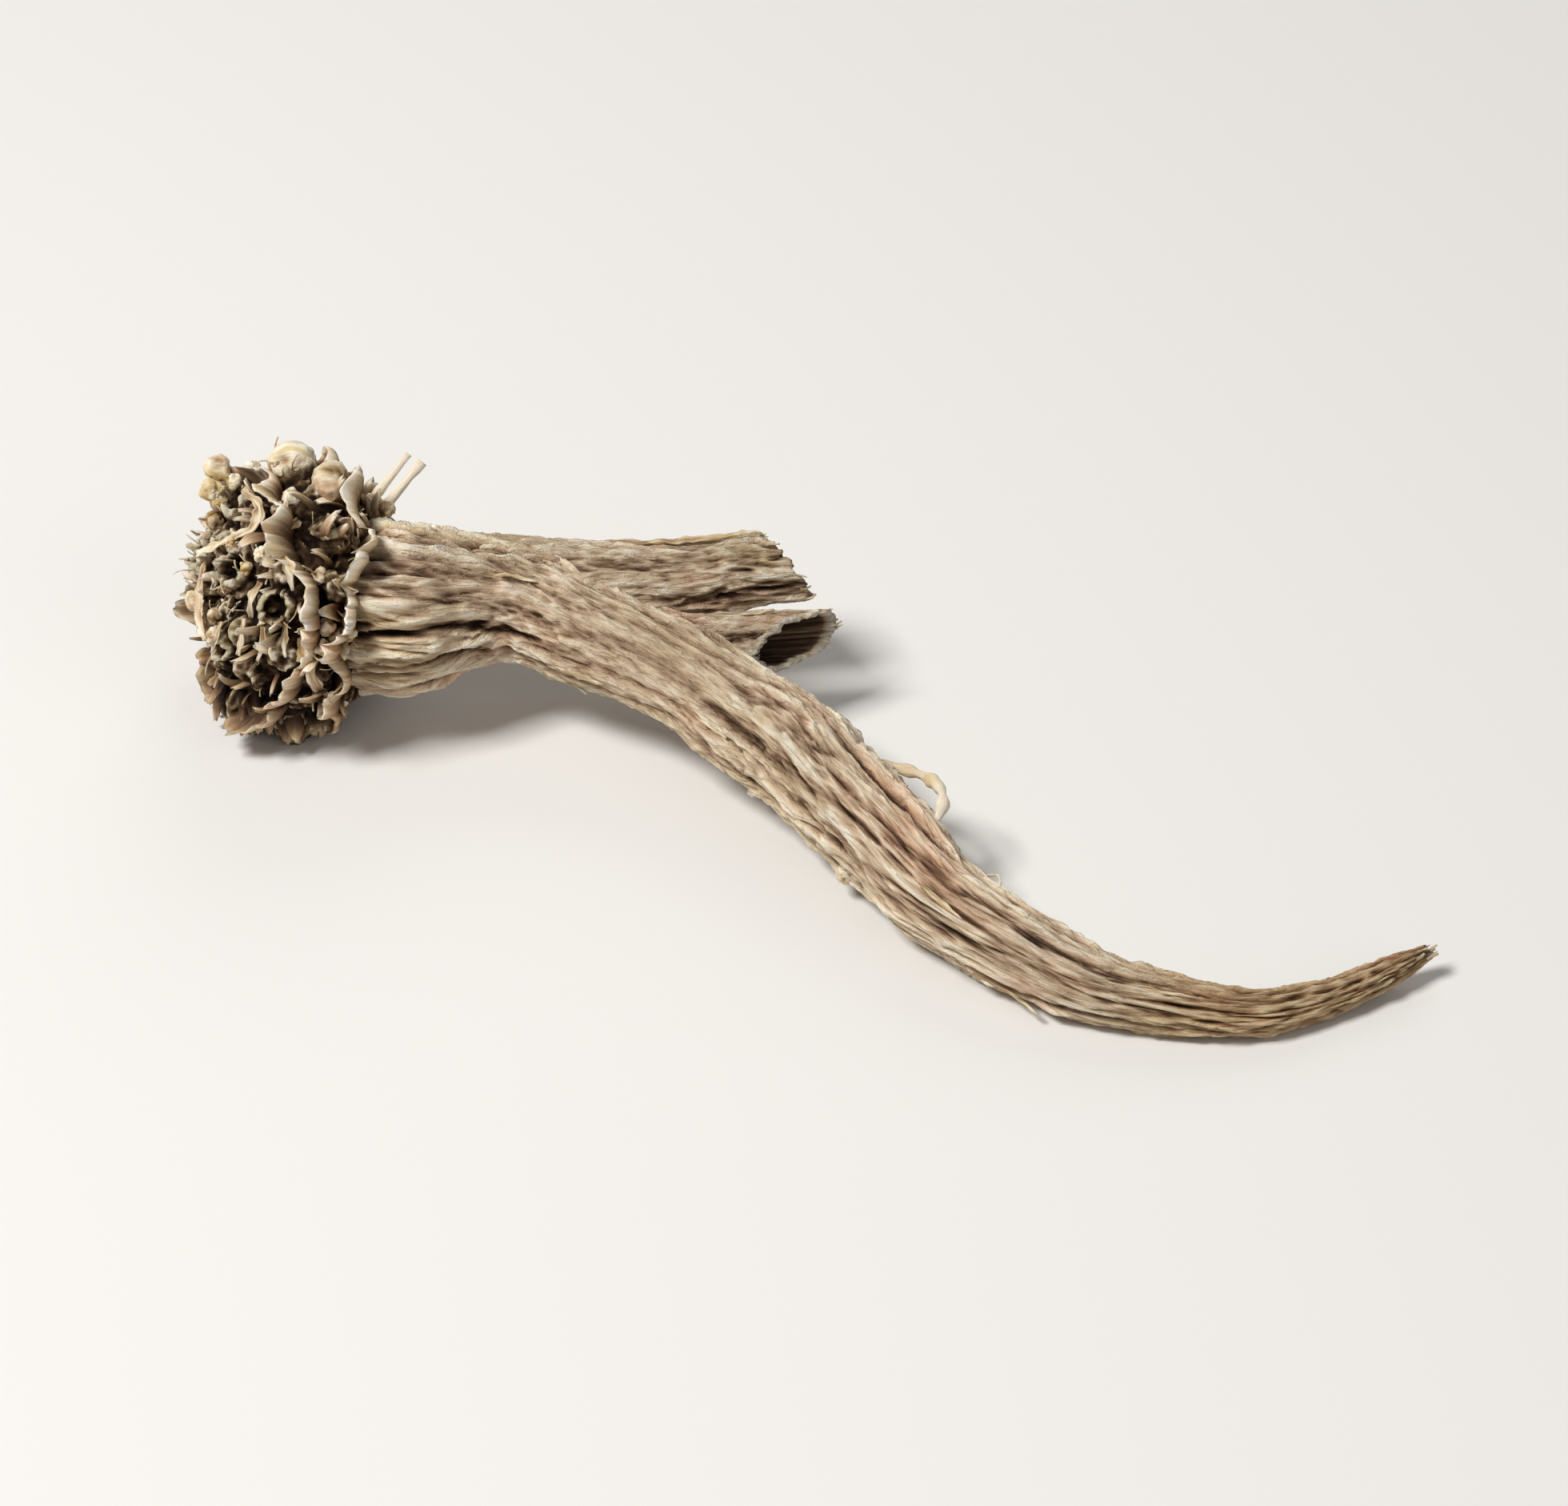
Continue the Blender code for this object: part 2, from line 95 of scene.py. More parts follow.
# Nets of wrinkles: width and length of their cells in millimetres, width of their lines, seed,
# height and sharpness. From long folds to fine wrinkles, and grooves between them
NETS = [
    (1.9, 8.0, 0.7, 5, 0.26, 1.0), (0.85, 3.2, 0.5, 3, 0.36, 1.7), (0.42, 1.6, 0.5, 11, 0.17, 1.5),
    (1.3, 7.0, 0.13, 17, -0.26, 1.0),
]
PIT_DEPTH = 0.22
GRAIN_HEIGHT = 0.05
WART_HEIGHT = 0.22
CRACK_DEPTH = 0.13
DRAWN_OUT = (0.9, 38.0, 62.0)
TAN_PLACE = (54.0, 68.0)
NO_LENGTH = 99.0


def srgb(code):
    """A hex colour such as "#c9b193" as the linear colour that shaders take."""
    channels = [int(code[i:i + 2], 16) / 255 for i in (1, 3, 5)]
    linear = [c / 12.92 if c <= 0.04045 else ((c + 0.055) / 1.055) ** 2.4 for c in channels]
    return (*linear, 1.0)


def sample_path(stations, gap):
    """Points evenly along a smooth curve through the stations, and their distances along it."""
    rows = np.array(stations)
    held = np.vstack([2 * rows[0] - rows[1], rows, 2 * rows[-1] - rows[-2]])
    t = np.linspace(0.0, 1.0, PATH_STEPS, endpoint=False)[:, None]
    fine = [rows[-1:]]
    for before, start, end, after in zip(held, held[1:], held[2:], held[3:]):
        bend = (2 * before - 5 * start + 4 * end - after) * t * t
        turn = (3 * start - before - 3 * end + after) * t * t * t
        fine.insert(-1, 0.5 * (2 * start + (end - before) * t + bend + turn))
    fine = np.concatenate(fine)
    gaps = np.linalg.norm(np.diff(fine[:, :3], axis=0), axis=1)
    reach = np.concatenate([[0.0], np.cumsum(gaps)])
    along = np.linspace(0.0, reach[-1], int(reach[-1] / gap) + 1)
    return np.column_stack([np.interp(along, reach, column) for column in fine.T]), along


def path_frames(points):
    """At each point, the direction of the path and the directions up and to the near side."""
    ahead = np.gradient(points, axis=0)
    for _ in range(2):
        held = np.pad(ahead, ((FRAME_SPAN, FRAME_SPAN), (0, 0)), mode="edge")
        ahead = sum(held[k:k + len(points)] for k in range(2 * FRAME_SPAN + 1))
    ahead /= np.linalg.norm(ahead, axis=1)[:, None]
    near = np.cross(ahead, UP)
    near /= np.linalg.norm(near, axis=1)[:, None]
    return ahead, np.cross(near, ahead), near


def bark_pattern(kind, angle, along, field):
    """The strength of a broad pattern at a spot of the bark, which closes on itself."""
    amount, length, spread, own_field = kind
    place = along / length + field + own_field
    return amount * noise((cos(angle) * spread, sin(angle) * spread, place))


def lattice_noise(spots, seed):
    """Smooth noise from about -1 to 1 at each row of spots, with cells one unit wide."""
    cell = np.floor(spots).astype(np.int64)
    inside = spots - cell
    ease = inside ** 3 * (inside * (inside * 6 - 15) + 10)
    total = np.zeros(len(spots))
    for corner in np.ndindex(2, 2, 2):
        # The noise's slope at each corner of a cell comes from a hash of the corner's place
        spot = cell + corner
        key = spot[:, 0] * 73856093 ^ spot[:, 1] * 19349663 ^ spot[:, 2] * 83492791
        key = (key + seed * 1013904223) & 0xFFFFFFFF
        key = ((key ^ (key >> 15)) * 2246822519) & 0xFFFFFFFF
        key = ((key ^ (key >> 13)) * 3266489917) & 0xFFFFFFFF
        slopes = np.column_stack([(key >> s) & 1023 for s in (0, 10, 20)]) / 511.5 - 1.0
        blend = np.prod(np.where(corner, ease, 1.0 - ease), axis=1)
        total += blend * np.sum(slopes * (inside - corner), axis=1)
    return total * 1.5


def flecks(places, across, length, seed):
    """Noise with its own width and length, in millimetres across and along the root."""
    return lattice_noise(places / (across, across, length), seed)


def smooth_step(values, low, high):
    """0 below low, 1 above high, and an even rise between them."""
    share = np.clip((values - low) / (high - low), 0.0, 1.0)
    return share * share * (3.0 - 2.0 * share)


def net(places, across, length, width, seed):
    """A net of lines that part and meet along the root: 1 on a line, 0 away from it."""
    spots = places / (across, across, length)
    spots[:, :2] += 0.45 * flecks(places, across * 2.6, length * 1.7, seed + 50)[:, None]
    return 1.0 - np.minimum(np.abs(lattice_noise(spots, seed)) / width, 1.0)


def gap_to(points, stations):
    """How far each point lies outside the root that the stations give, in millimetres."""
    rows = sample_path(stations, 0.4)[0]
    return np.min([np.linalg.norm(points - row[:3], axis=1) - row[3] for row in rows], axis=0)


def blurred(grid, rings, columns):
    """A grid averaged over some rings and columns, where its columns close on themselves."""
    for _ in range(2):
        sums = sum(np.roll(grid, k, axis=1) for k in range(-columns, columns + 1))
        padded = np.pad(sums, ((rings, rings), (0, 0)), mode="edge")
        sums = sum(padded[k:k + len(grid)] for k in range(2 * rings + 1))
        grid = sums / (2 * columns + 1) / (2 * rings + 1)
    return grid


def finished_mesh(name, bm, **attributes):
    """Turn shells into a mesh with its faces outward, and give its corners attributes."""
    bmesh.ops.recalc_face_normals(bm, faces=bm.faces)
    mesh = bpy.data.meshes.new(name)
    bm.to_mesh(mesh)
    bm.free()
    set_attributes(mesh, **attributes)
    return mesh


def set_attributes(mesh, **attributes):
    """Store a number or a place for each point of a mesh, under each name."""
    for name, rows in attributes.items():
        values = np.asarray(rows, dtype=np.float32)
        kind, field = ("FLOAT", "value") if values.ndim == 1 else ("FLOAT_VECTOR", "vector")
        mesh.attributes.new(name, kind, "POINT").data.foreach_set(field, values.ravel())


def grow_skin(stations, others, ridges, field, columns, gap, slant, reach, low, jag,
              calm=0.0, vigour=1.0, worn=0.0):
    """The bark of one root as rings of columns that follow its ridges.

    Its end is cut on a slant over some reach, furthest back on the side that low gives as up
    and near, ragged by its jag, and worn thinner. Calm is its share in the smooth plate at the
    fork, vigour is the strength of its wrinkles, and field is its own place in the noise.
    """
    path, along = sample_path(stations, gap)
    line = path[:, :3]
    size = path[:, 3:]
    ahead, up, near = path_frames(line)
    grid = (len(line), columns)
    even = np.arange(columns) * tau / columns
    angle, swell, fade = np.empty((3, *grid))
    for k, i in np.ndindex(grid):
        turn = even[i] - bark_pattern(DRIFT, even[i], along[k], field)
        turn -= bark_pattern(SNAKING, even[i], along[k], field)
        angle[k, i] = turn
        swell[k, i] = bark_pattern(SWELLING, turn, along[k], field)
        fade[k, i] = bark_pattern(FADING, turn, along[k], field)
    side = np.cos(angle)[..., None] * up[:, None] + np.sin(angle)[..., None] * near[:, None]
    plump = size * (1.0 + swell)
    points = line[:, None] + side * plump[..., None]

    # Bark of two roots that meet is drawn out into a web between them
    for other, web in others:
        clear = np.clip(gap_to(points.reshape(-1, 3), other), 0.0, web).reshape(grid)
        plump += (web - clear) ** 2 / (4.0 * web)

    depth = FURROW_DEPTH * size * (1.0 + fade) * np.minimum(1.0, DEEP_FURROWS / size)
    depth *= 1.0 - (0.5 + 0.5 * np.cos(ridges * even)) ** CREST_FULLNESS
    from_place = (along[:, None] - CALM_PLACE) / CALM_LENGTH
    calm_share = calm * np.exp(-(from_place ** 2)) * (0.5 + 0.5 * np.cos(angle - CALM_SIDE))
    depth *= 1.0 - CALM * calm_share

    # Patterns are scaled with the root, and drawn out along its lower half
    unit = (size / 4.0) ** 0.6
    most, start, end = DRAWN_OUT
    stretch = unit[:, 0] * (1.0 + most * smooth_step(along, start, end))
    run = np.concatenate([[0.0], np.cumsum(gap / stretch[1:])]) + field
    around = (size / unit * np.cos(angle), size / unit * np.sin(angle))
    places = np.stack([*around, np.broadcast_to(run[:, None], grid)], axis=-1)
    spots = places.reshape(-1, 3)
    fine = sum(height * net(spots, *cells) ** power for *cells, height, power in NETS)
    fine -= PIT_DEPTH * (1.0 + smooth_step(flecks(spots, 0.6, 1.9, 29), 0.35, 0.75))
    lively = vigour * (1.05 + 0.35 * flecks(spots, 4.0, 7.0, 47))
    fine *= lively * (1.0 - CALM_WRINKLES * calm_share.ravel() ** 0.8)
    fine += GRAIN_HEIGHT * flecks(spots, 0.24, 0.9, 23)
    fine += WART_HEIGHT * smooth_step(flecks(spots, 1.3, 1.9, 37), 0.62, 0.95)
    cracked = smooth_step(flecks(spots, 2.4, 3.0, 43), 0.15, 0.4)
    fine -= CRACK_DEPTH * net(spots, 1.9, 0.8, 0.07, 41) * cracked
    relief = fine.reshape(grid) * unit - depth
    points = line[:, None] + side * (plump + relief)[..., None]

    # A break or tear at the end, on a slant and ragged
    cut = np.clip(1.0 - (along[-1] - along) / reach, 0.0, 1.0)[:, None] ** 2
    lowness = low[0] * np.cos(angle) + low[1] * np.sin(angle)
    ragged = flecks(spots, 0.7, NO_LENGTH, 53) + 0.6 * flecks(spots, 0.28, NO_LENGTH, 59)
    shift = cut * (jag * ragged.reshape(grid) - slant * lowness)
    points += ahead[-1] * shift[..., None] - side * (worn * size * cut)[..., None]
    points[..., 2] = np.maximum(points[..., 2], 0.0)

    # Painted shade and highlight: the colour level is darker in furrows and paler on crests
    local = (relief - blurred(relief, 3, 6)) / unit
    wide = (relief - blurred(relief, 12, 30)) / unit
    height = np.clip(0.6 + 1.15 * local + 0.25 * wide, 0.0, 1.0)
    return SimpleNamespace(
        line=line, along=along, ahead=ahead[-1], points=points, places=places, height=height,
        bare=np.zeros(grid), rows=[]
    )


def break_face(skin, rings, roughness):
    """Close the end with a fibrous face of broken wood, a little hollow in its middle."""
    rim = skin.points[-1]
    middle = rim.mean(axis=0)
    rays = (rim - middle) / np.linalg.norm(rim - middle, axis=1)[:, None]
    for k in range(1, rings + 1):
        share = 1.0 - k / (rings + 1)
        spots = middle + (rim - middle) * share
        rough = lattice_noise(spots / 0.22, 61) + 0.9 * lattice_noise(spots / 0.55, 67)
        splinters = np.maximum(rough, 0.0) ** 1.5 + 0.3 * rough
        dip = roughness * splinters * min(1.0, 5.0 * (1.0 - share))
        dip -= 0.45 * (1.0 - share ** 4) * (1.0 + 0.6 * lattice_noise(spots / 1.6, 63))
        spots += skin.ahead * dip[:, None]
        bark_share = np.full(len(rim), smooth_step(share, 0.94, 0.84))
        skin.rows.append((spots, rays * 2.2 + share * 0.9, 0.45 + 0.3 * rough, bark_share))


def skin_mesh(skin, name, thinned=inf):
    """A closed mesh, with every second column left out past a place along the root."""
    steps = [2 if along > thinned else 1 for along in skin.along]
    grids = (skin.points, skin.places, skin.height, skin.bare)
    layers = [[grid[k, ::step] for grid in grids] for k, step in enumerate(steps)]
    layers += [[part[::steps[-1]] for part in row] for row in skin.rows]
    starts = np.concatenate([[0], np.cumsum([len(layer[0]) for layer in layers])])
    faces = []
    for lower, upper, end in zip(starts, starts[1:], starts[2:]):
        above = end - upper
        for i in range(above):
            j = (i + 1) % above
            if upper - lower == above:
                faces.append((lower + i, lower + j, upper + j, upper + i))
            else:
                half = lower + 2 * i + 1
                faces.append((lower + 2 * i, half, upper + i))
                faces.append((half, upper + j, upper + i))
                faces.append((half, lower + 2 * j, upper + j))
    for tip, k in enumerate((0, len(layers) - 1), start=starts[-1]):
        spots, places = layers[k][:2]
        for i in range(len(spots)):
            faces.append((starts[k] + i, starts[k] + (i + 1) % len(spots), tip))
        layers.append((spots.mean(axis=0)[None], places[:1], [0.4], [1.0]))
    points, places, height, bare = [np.concatenate(parts) for parts in zip(*layers)]
    bm = bmesh.new()
    corners = [bm.verts.new(point) for point in points.tolist()]
    for face in faces:
        bm.faces.new([corners[i] for i in face])
    return finished_mesh(name, bm, grain=places, height=height, broken=bare)


def read_mesh(mesh):
    """The points, normals and edges of a mesh as arrays."""
    points, normals = np.empty((2, len(mesh.vertices), 3))
    mesh.vertices.foreach_get("co", points.ravel())
    mesh.vertices.foreach_get("normal", normals.ravel())
    edges = np.empty((len(mesh.edges), 2), dtype=np.int64)
    mesh.edges.foreach_get("vertices", edges.ravel())
    return points, normals, edges


def shown(name, data):
    """A new object of the scene, which shows a mesh, lamp or camera."""
    made = bpy.data.objects.new(name, data)
    bpy.context.scene.collection.objects.link(made)
    return made


def add_piece(name, mesh, material):
    """Bring a mesh from millimetres round the crown to the frame, as a piece of the root."""
    mesh.transform(Matrix.Scale(METRES_PER_MM, 4) @ Matrix.Translation(-MIDDLE))
    mesh.shade_smooth()
    mesh.materials.append(material)
    piece = shown(name, mesh)
    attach(piece, BODY)
    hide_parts(NODE)


def add_node(tree, kind, inputs, stops=(), **settings):
    """Add a shader node with its settings, inputs and a ramp's stops. Returns its outputs."""
    made = tree.nodes.new("ShaderNode" + kind)
    for key, value in settings.items():
        setattr(made, key, value)
    for key, value in inputs.items():
        if isinstance(value, bpy.types.NodeSocket):
            tree.links.new(value, made.inputs[key])
        else:
            made.inputs[key].default_value = value

    # A new ramp has two stops already, which become the first two of these
    for i, (place, code) in enumerate(stops):
        stop = made.color_ramp.elements[i] if i < 2 else made.color_ramp.elements.new(place)
        stop.position = place
        stop.color = srgb(code)
    return made.outputs


# A mix node's sockets for colours, by their places
MIX_SHARE = 0
MIX_FIRST = 6
MIX_SECOND = 7
MIX_RESULT = 2


def new_material(name, roughness, specular):
    """A material with its node tree, its shader, and the attributes that pieces carry."""
    made = bpy.data.materials.new(name)
    made.use_nodes = True
    tree = made.node_tree
    shader = tree.nodes["Principled BSDF"]
    shader.inputs["Roughness"].default_value = roughness
    shader.inputs["Specular IOR Level"].default_value = specular
    read = [
        add_node(tree, "Attribute", {}, attribute_name=key)[output]
        for key, output in (("grain", "Vector"), ("height", "Fac"))
    ]
    return made, tree, shader, *read


def noise_along(tree, places, scale, detail, roughness=0.6):
    """Noise with its own scale, in cells a millimetre, across and along the grain."""
    spots = add_node(tree, "Mapping", {"Vector": places, "Scale": scale})
    return add_node(tree, "TexNoise", {
        "Vector": spots[0], "Scale": 1.0, "Detail": detail, "Roughness": roughness
    })["Fac"]


def layered(tree, level, layers):
    """A level with the patterns or numbers of some layers added to it, each by its weight."""
    for pattern, weight in layers:
        level = add_node(
            tree, "Math", {0: pattern, 1: weight, 2: level}, operation="MULTIPLY_ADD"
        )[0]
    return level


def tinted(tree, colour, pattern, low, high, most, tint):
    """A colour multiplied by a tint, more and more as a pattern goes from low to high."""
    share = add_node(tree, "MapRange", {
        "Value": pattern, "From Min": low, "From Max": high, "To Max": most
    })
    return add_node(tree, "Mix", {
        MIX_SHARE: share[0], MIX_FIRST: colour, MIX_SECOND: srgb(tint)
    }, data_type="RGBA", blend_type="MULTIPLY")[MIX_RESULT]


def dress(tree, shader, colour, relief, strength, distance):
    """Give a shader its colour, and a bump from a relief, with its distance in metres."""
    tree.links.new(colour, shader.inputs["Base Color"])
    bump = add_node(tree, "Bump", {
        "Height": relief, "Strength": strength, "Distance": distance
    })
    tree.links.new(bump[0], shader.inputs["Normal"])


# Dried root bark: dead cork, matt and dusty, with painted shade in its furrows and a painted
# highlight on its crests, and olive-grey and rosy patches 5 mm wide. Streaks 0.3 mm wide,
# hairlines of 0.12 mm and wrinkles 0.5 mm apart run along the root, over blotches 1 mm wide
# and grit of 0.1 mm
bark, tree, shader, grain, height = new_material("dried_root_bark", 0.84, 0.28)
broken, tan = [
    add_node(tree, "Attribute", {}, attribute_name=key)["Fac"]
    for key in ("broken", "tan")
]
streaks = noise_along(tree, grain, (3.4, 3.4, 0.6), 6.0, 0.65)
blotches = noise_along(tree, grain, (0.9, 0.9, 0.35), 4.0)
hairlines = noise_along(tree, grain, (8.0, 8.0, 1.1), 5.0, 0.65)
wrinkles = noise_along(tree, grain, (2.0, 2.0, 0.3), 4.0, 0.55)
off_line = add_node(tree, "Math", {0: wrinkles, 1: 0.5}, operation="SUBTRACT")
off_line = add_node(tree, "Math", {0: off_line[0]}, operation="ABSOLUTE")
lines = add_node(tree, "MapRange", {
    "Value": off_line[0], "From Max": 0.035, "To Min": 1.0, "To Max": 0.0
})[0]
level = layered(tree, height, [
    (hairlines, 0.3), (streaks, 0.5), (blotches, 0.34), (lines, -0.11), (1.0, -0.55)
])
tone = add_node(tree, "ValToRGB", {"Fac": level}, [
    (0.0, "#23150b"), (1.0, "#fdf0d8"), (0.15, "#543c28"), (0.32, "#8b6f56"),
    (0.48, "#bb9e81"), (0.64, "#dabf9f"), (0.82, "#f0dabb")
])
patches = noise_along(tree, grain, (0.2, 0.2, 0.09), 3.0)
olive = tinted(tree, tone[0], patches, 0.5, 0.7, 0.5, "#dbd7b2")
rosy = tinted(tree, olive, patches, 0.45, 0.3, 0.5, "#eec4b0")
tanned = tinted(tree, rosy, tan, 0.0, 1.0, 1.0, "#f6e8d2")

# Broken wood under the bark: paler and yellower, and full of fibres 0.3 mm thick
fibres = noise_along(tree, grain, (3.0, 3.0, 3.0), 5.0, 0.7)
wood = add_node(
    tree, "ValToRGB", {"Fac": layered(tree, fibres, [(height, 0.45)])},
    [(0.42, "#6b4b2c"), (0.98, "#f9eedb"), (0.64, "#b4956f"), (0.8, "#dcc5a1")]
)
surface = add_node(tree, "Mix", {
    MIX_SHARE: broken, MIX_FIRST: tanned, MIX_SECOND: wood[0]
}, data_type="RGBA")
grit = noise_along(tree, grain, (9.0, 9.0, 7.0), 3.0)
relief = layered(tree, hairlines, [(grit, 0.5), (lines, -0.35)])
dress(tree, shader, surface[MIX_RESULT], relief, 0.9, 0.00034)

taproot = grow_skin(
    TAPROOT, [(BRANCH, WEB), (TORN_ROOT, WEB)], ridges=12, field=0.0, columns=288, gap=0.27,
    calm=1.0, slant=0.5, reach=3.5, low=(1.0, 0.3), jag=0.7, worn=0.45
)
break_face(taproot, rings=4, roughness=0.12)
taproot_mesh = skin_mesh(taproot, "taproot", thinned=66.0)
set_attributes(taproot_mesh, tan=smooth_step(read_mesh(taproot_mesh)[0][:, 0], *TAN_PLACE))
add_piece("taproot", taproot_mesh, bark)

# Side branch.
# A short root that leaves the neck below the crown and was snapped off, so that its end is a
# ragged face of pale broken wood. Its bark is the taproot's, with fewer and longer furrows.
CRACK_WEB = 4.5
branch = grow_skin(
    BRANCH, [(TAPROOT, WEB), (TORN_ROOT, CRACK_WEB)], ridges=6, field=90.0, columns=168,
    gap=0.25, vigour=0.85, slant=1.3, reach=5.0, low=(1.0, -1.0), jag=0.45
)
break_face(branch, rings=22, roughness=0.4)
add_piece("side_branch", skin_mesh(branch, "side_branch"), bark)

# Torn side root.
# Ripped off lengthwise between the branch and the taproot: its near wall is gone, and the
# dark stringy inside of its far wall shows behind a thin pale edge of torn bark.


def hollow_end(skin, rings, wall, depth):
    """Open the end into a torn hollow with a thin wall and a fibrous inside."""
    rim = skin.points[-1]
    places = skin.places[-1]
    away = rim - skin.line[-1]
    away -= np.outer(away @ skin.ahead, skin.ahead)
    inward = rim.mean(axis=0) - rim
    inward /= np.linalg.norm(inward, axis=1)[:, None]
    start = rim + inward * wall
    thinned = 1.0 - wall / np.linalg.norm(away, axis=1)[:, None]
    goal = skin.line[-1] - skin.ahead * depth + away * thinned * 0.75
    stripes = flecks(places, 0.42, NO_LENGTH, 71) + 0.5 * flecks(places, 0.16, NO_LENGTH, 73)
    for k, share in enumerate((0.3, 0.7, 1.0, 1.0), start=-4):
        skin.bare[k] = share
        skin.height[k] = np.maximum(skin.height[k], 0.6 + 0.4 * share)
    for k in range(rings + 1):
        share = k / rings
        spots = start + (goal - start) * share
        spots += inward * (0.2 * stripes * min(1.0, 3.0 * share))[:, None]
        tone = 0.18 - 0.2 * share + 0.3 * np.maximum(stripes, 0.0)
        tone = np.clip(tone + 1.2 * max(0.0, 1.0 - 12.0 * share), 0.0, 1.0)
        bark_share = np.full(len(rim), max(0.0, 1.0 - 9.0 * share))
        skin.rows.append((spots, places + (0.0, 0.0, 3.0 * share), tone, bark_share))


torn = grow_skin(
    TORN_ROOT, [(TAPROOT, WEB), (BRANCH, CRACK_WEB)], ridges=5, field=140.0, columns=150,
    gap=0.22, vigour=0.8, slant=3.2, reach=9.0, low=(0.1, 1.0), jag=0.4
)
hollow_end(torn, rings=24, wall=0.42, depth=6.0)
add_piece("torn_side_root", skin_mesh(torn, "torn_side_root"), bark)

# Crown.
# The woody head where the leaves and stems grew: a squat dome packed with dead buds and
# studded with hollow stem stubs, all crumbled and full of dark gaps.
SEED = 7
CROWN_CENTRE = Vector((0.0, 0.0, 9.0))
CROWN_MIDDLE = np.array(CROWN_CENTRE)
CROWN_AXIS = Vector((-0.87, -0.38, 0.32)).normalized()
CROWN_ALONG = 6.6
CROWN_ACROSS = 8.1
CROWN_DISH = 0.22
CROWN_DISH_ANGLE = 0.6
CROWN_VOXEL = 0.165
CROWN_RELIEF = 2.2

# How far the buds of the face spread from the crown's axis, in degrees, their count and sizes,
# and the same for belts of buds from one angle to another
FACE_BUDS = (64.0, 20, 1.1, 1.7)
BUD_BELTS = [(80.0, 90.0, 14, 1.25, 1.75), (108.0, 130.0, 11, 1.35, 2.0)]
FACE_STRETCH = (1.1, 1.5)
BELT_STRETCH = (1.0, 1.4)
BUD_SINK = 0.38
GOLDEN_ANGLE = pi * (3.0 - sqrt(5.0))

# x, y, radius and height of the pressed buds that the crown rests on
FEET = [(-3.6, -3.6, 2.3, 6.0), (-0.4, -5.2, 1.8, 5.6), (0.4, 5.3, 2.2, 6.2), (3.6, 4.6, 1.8, 5.8)]
FOOT_CUT = 0.7

# Angle from the crown's axis, turn about it, radius and height of each stub
STEMS = [
    (22.0, 20.0, 1.45, 2.2), (36.0, 150.0, 1.3, 1.8), (40.0, 265.0, 1.4, 2.0),
    (54.0, 325.0, 1.25, 2.2), (56.0, 70.0, 1.3, 1.8), (89.0, 326.0, 1.75, 2.3),
]
STEM_ROOT = 2.4
STEM_LEAN = Vector((-0.25, -0.35, 0.5))
STEM_SLANT = 0.9
STEM_WALL = 0.42
STEM_SIDES = 48


def crown_direction(from_axis, about_axis):
    """Unit direction at an angle from the crown's axis, turned about it from straight up."""
    up = (UP - CROWN_AXIS * UP.dot(CROWN_AXIS)).normalized()
    near = up.cross(CROWN_AXIS)
    across = up * cos(about_axis) + near * sin(about_axis)
    return CROWN_AXIS * cos(from_axis) + across * sin(from_axis)


def crown_reach(from_axis):
    """Distance from the crown's middle to its skin: a squat dome with a dished face."""
    along = cos(from_axis) / CROWN_ALONG
    across = sin(from_axis) / CROWN_ACROSS
    dish = CROWN_DISH * exp(-((from_axis / CROWN_DISH_ANGLE) ** 2))
    return (1.0 - dish) / hypot(along, across)


def crown_spot(from_axis, way, depth):
    """A spot at a depth below the crown's skin."""
    return CROWN_CENTRE + way * (crown_reach(from_axis) - depth)


def belt(first, last, count, astray, draw):
    """Angles from the crown's axis and directions, evenly round it but for going astray."""
    for i in range(count):
        from_axis = radians(draw.uniform(first, last))
        about = tau * (i + draw.uniform(-astray, astray)) / count
        yield from_axis, crown_direction(from_axis, about)


def turns(count):
    """Even turns round a section, in radians."""
    return [tau * i / count for i in range(count)]


def loft(bm, rings, closed=False):
    """Add a skin over rings of points, closed into a hoop, or with each end shut by a fan."""
    rows = [[bm.verts.new(p) for p in ring] for ring in rings]
    sides = len(rows[0])
    pairs = list(zip(rows, rows[1:])) + ([(rows[-1], rows[0])] if closed else [])
    for lower, upper in pairs:
        for i in range(sides):
            j = (i + 1) % sides
            bm.faces.new((lower[i], lower[j], upper[j], upper[i]))
    for ring in [] if closed else [rows[0], rows[-1]]:
        middle = bm.verts.new(sum((v.co for v in ring), Vector()) / sides)
        for i in range(sides):
            bm.faces.new((ring[i], ring[(i + 1) % sides], middle))


def ball(bm, subdivisions, radius=1.0):
    """Add a round shell. Returns its corners, to be moved, with their places on the ball."""
    made = bmesh.ops.create_icosphere(bm, subdivisions=subdivisions, radius=radius)
    return [(corner, corner.co.copy()) for corner in made["verts"]]


def bud(bm, from_axis, way, radius, stretch):
    """Add one dead bud: a knob wrapped in overlapping scales round a sunken dark tip."""
    turn = way.to_track_quat("Z", "Y").to_matrix()
    centre = crown_spot(from_axis, way, radius * BUD_SINK)
    hand = 1.0 if noise(way * 9.0) > 0.0 else -1.0
    for corner, here in ball(bm, 5, radius):
        from_tip = here.angle(UP)
        about = atan2(here.y, here.x)
        wrap = (hand * 3.0 * about / tau + 1.1 * from_tip + radius * 5.0) % 1.0
        scales = 0.17 * (wrap ** 1.5 - 0.4) * sin(min(from_tip * 1.3, 1.57))
        tip = -0.3 * exp(-((from_tip / 0.34) ** 2))
        lumps = 1.0 + 0.12 * noise(here * 0.9 + way * 40.0) + scales + tip
        lumps += 0.05 * noise(here * 3.4 + way * 17.0)
        corner.co = centre + turn @ (Vector((here.x, here.y, here.z * stretch)) * lumps)


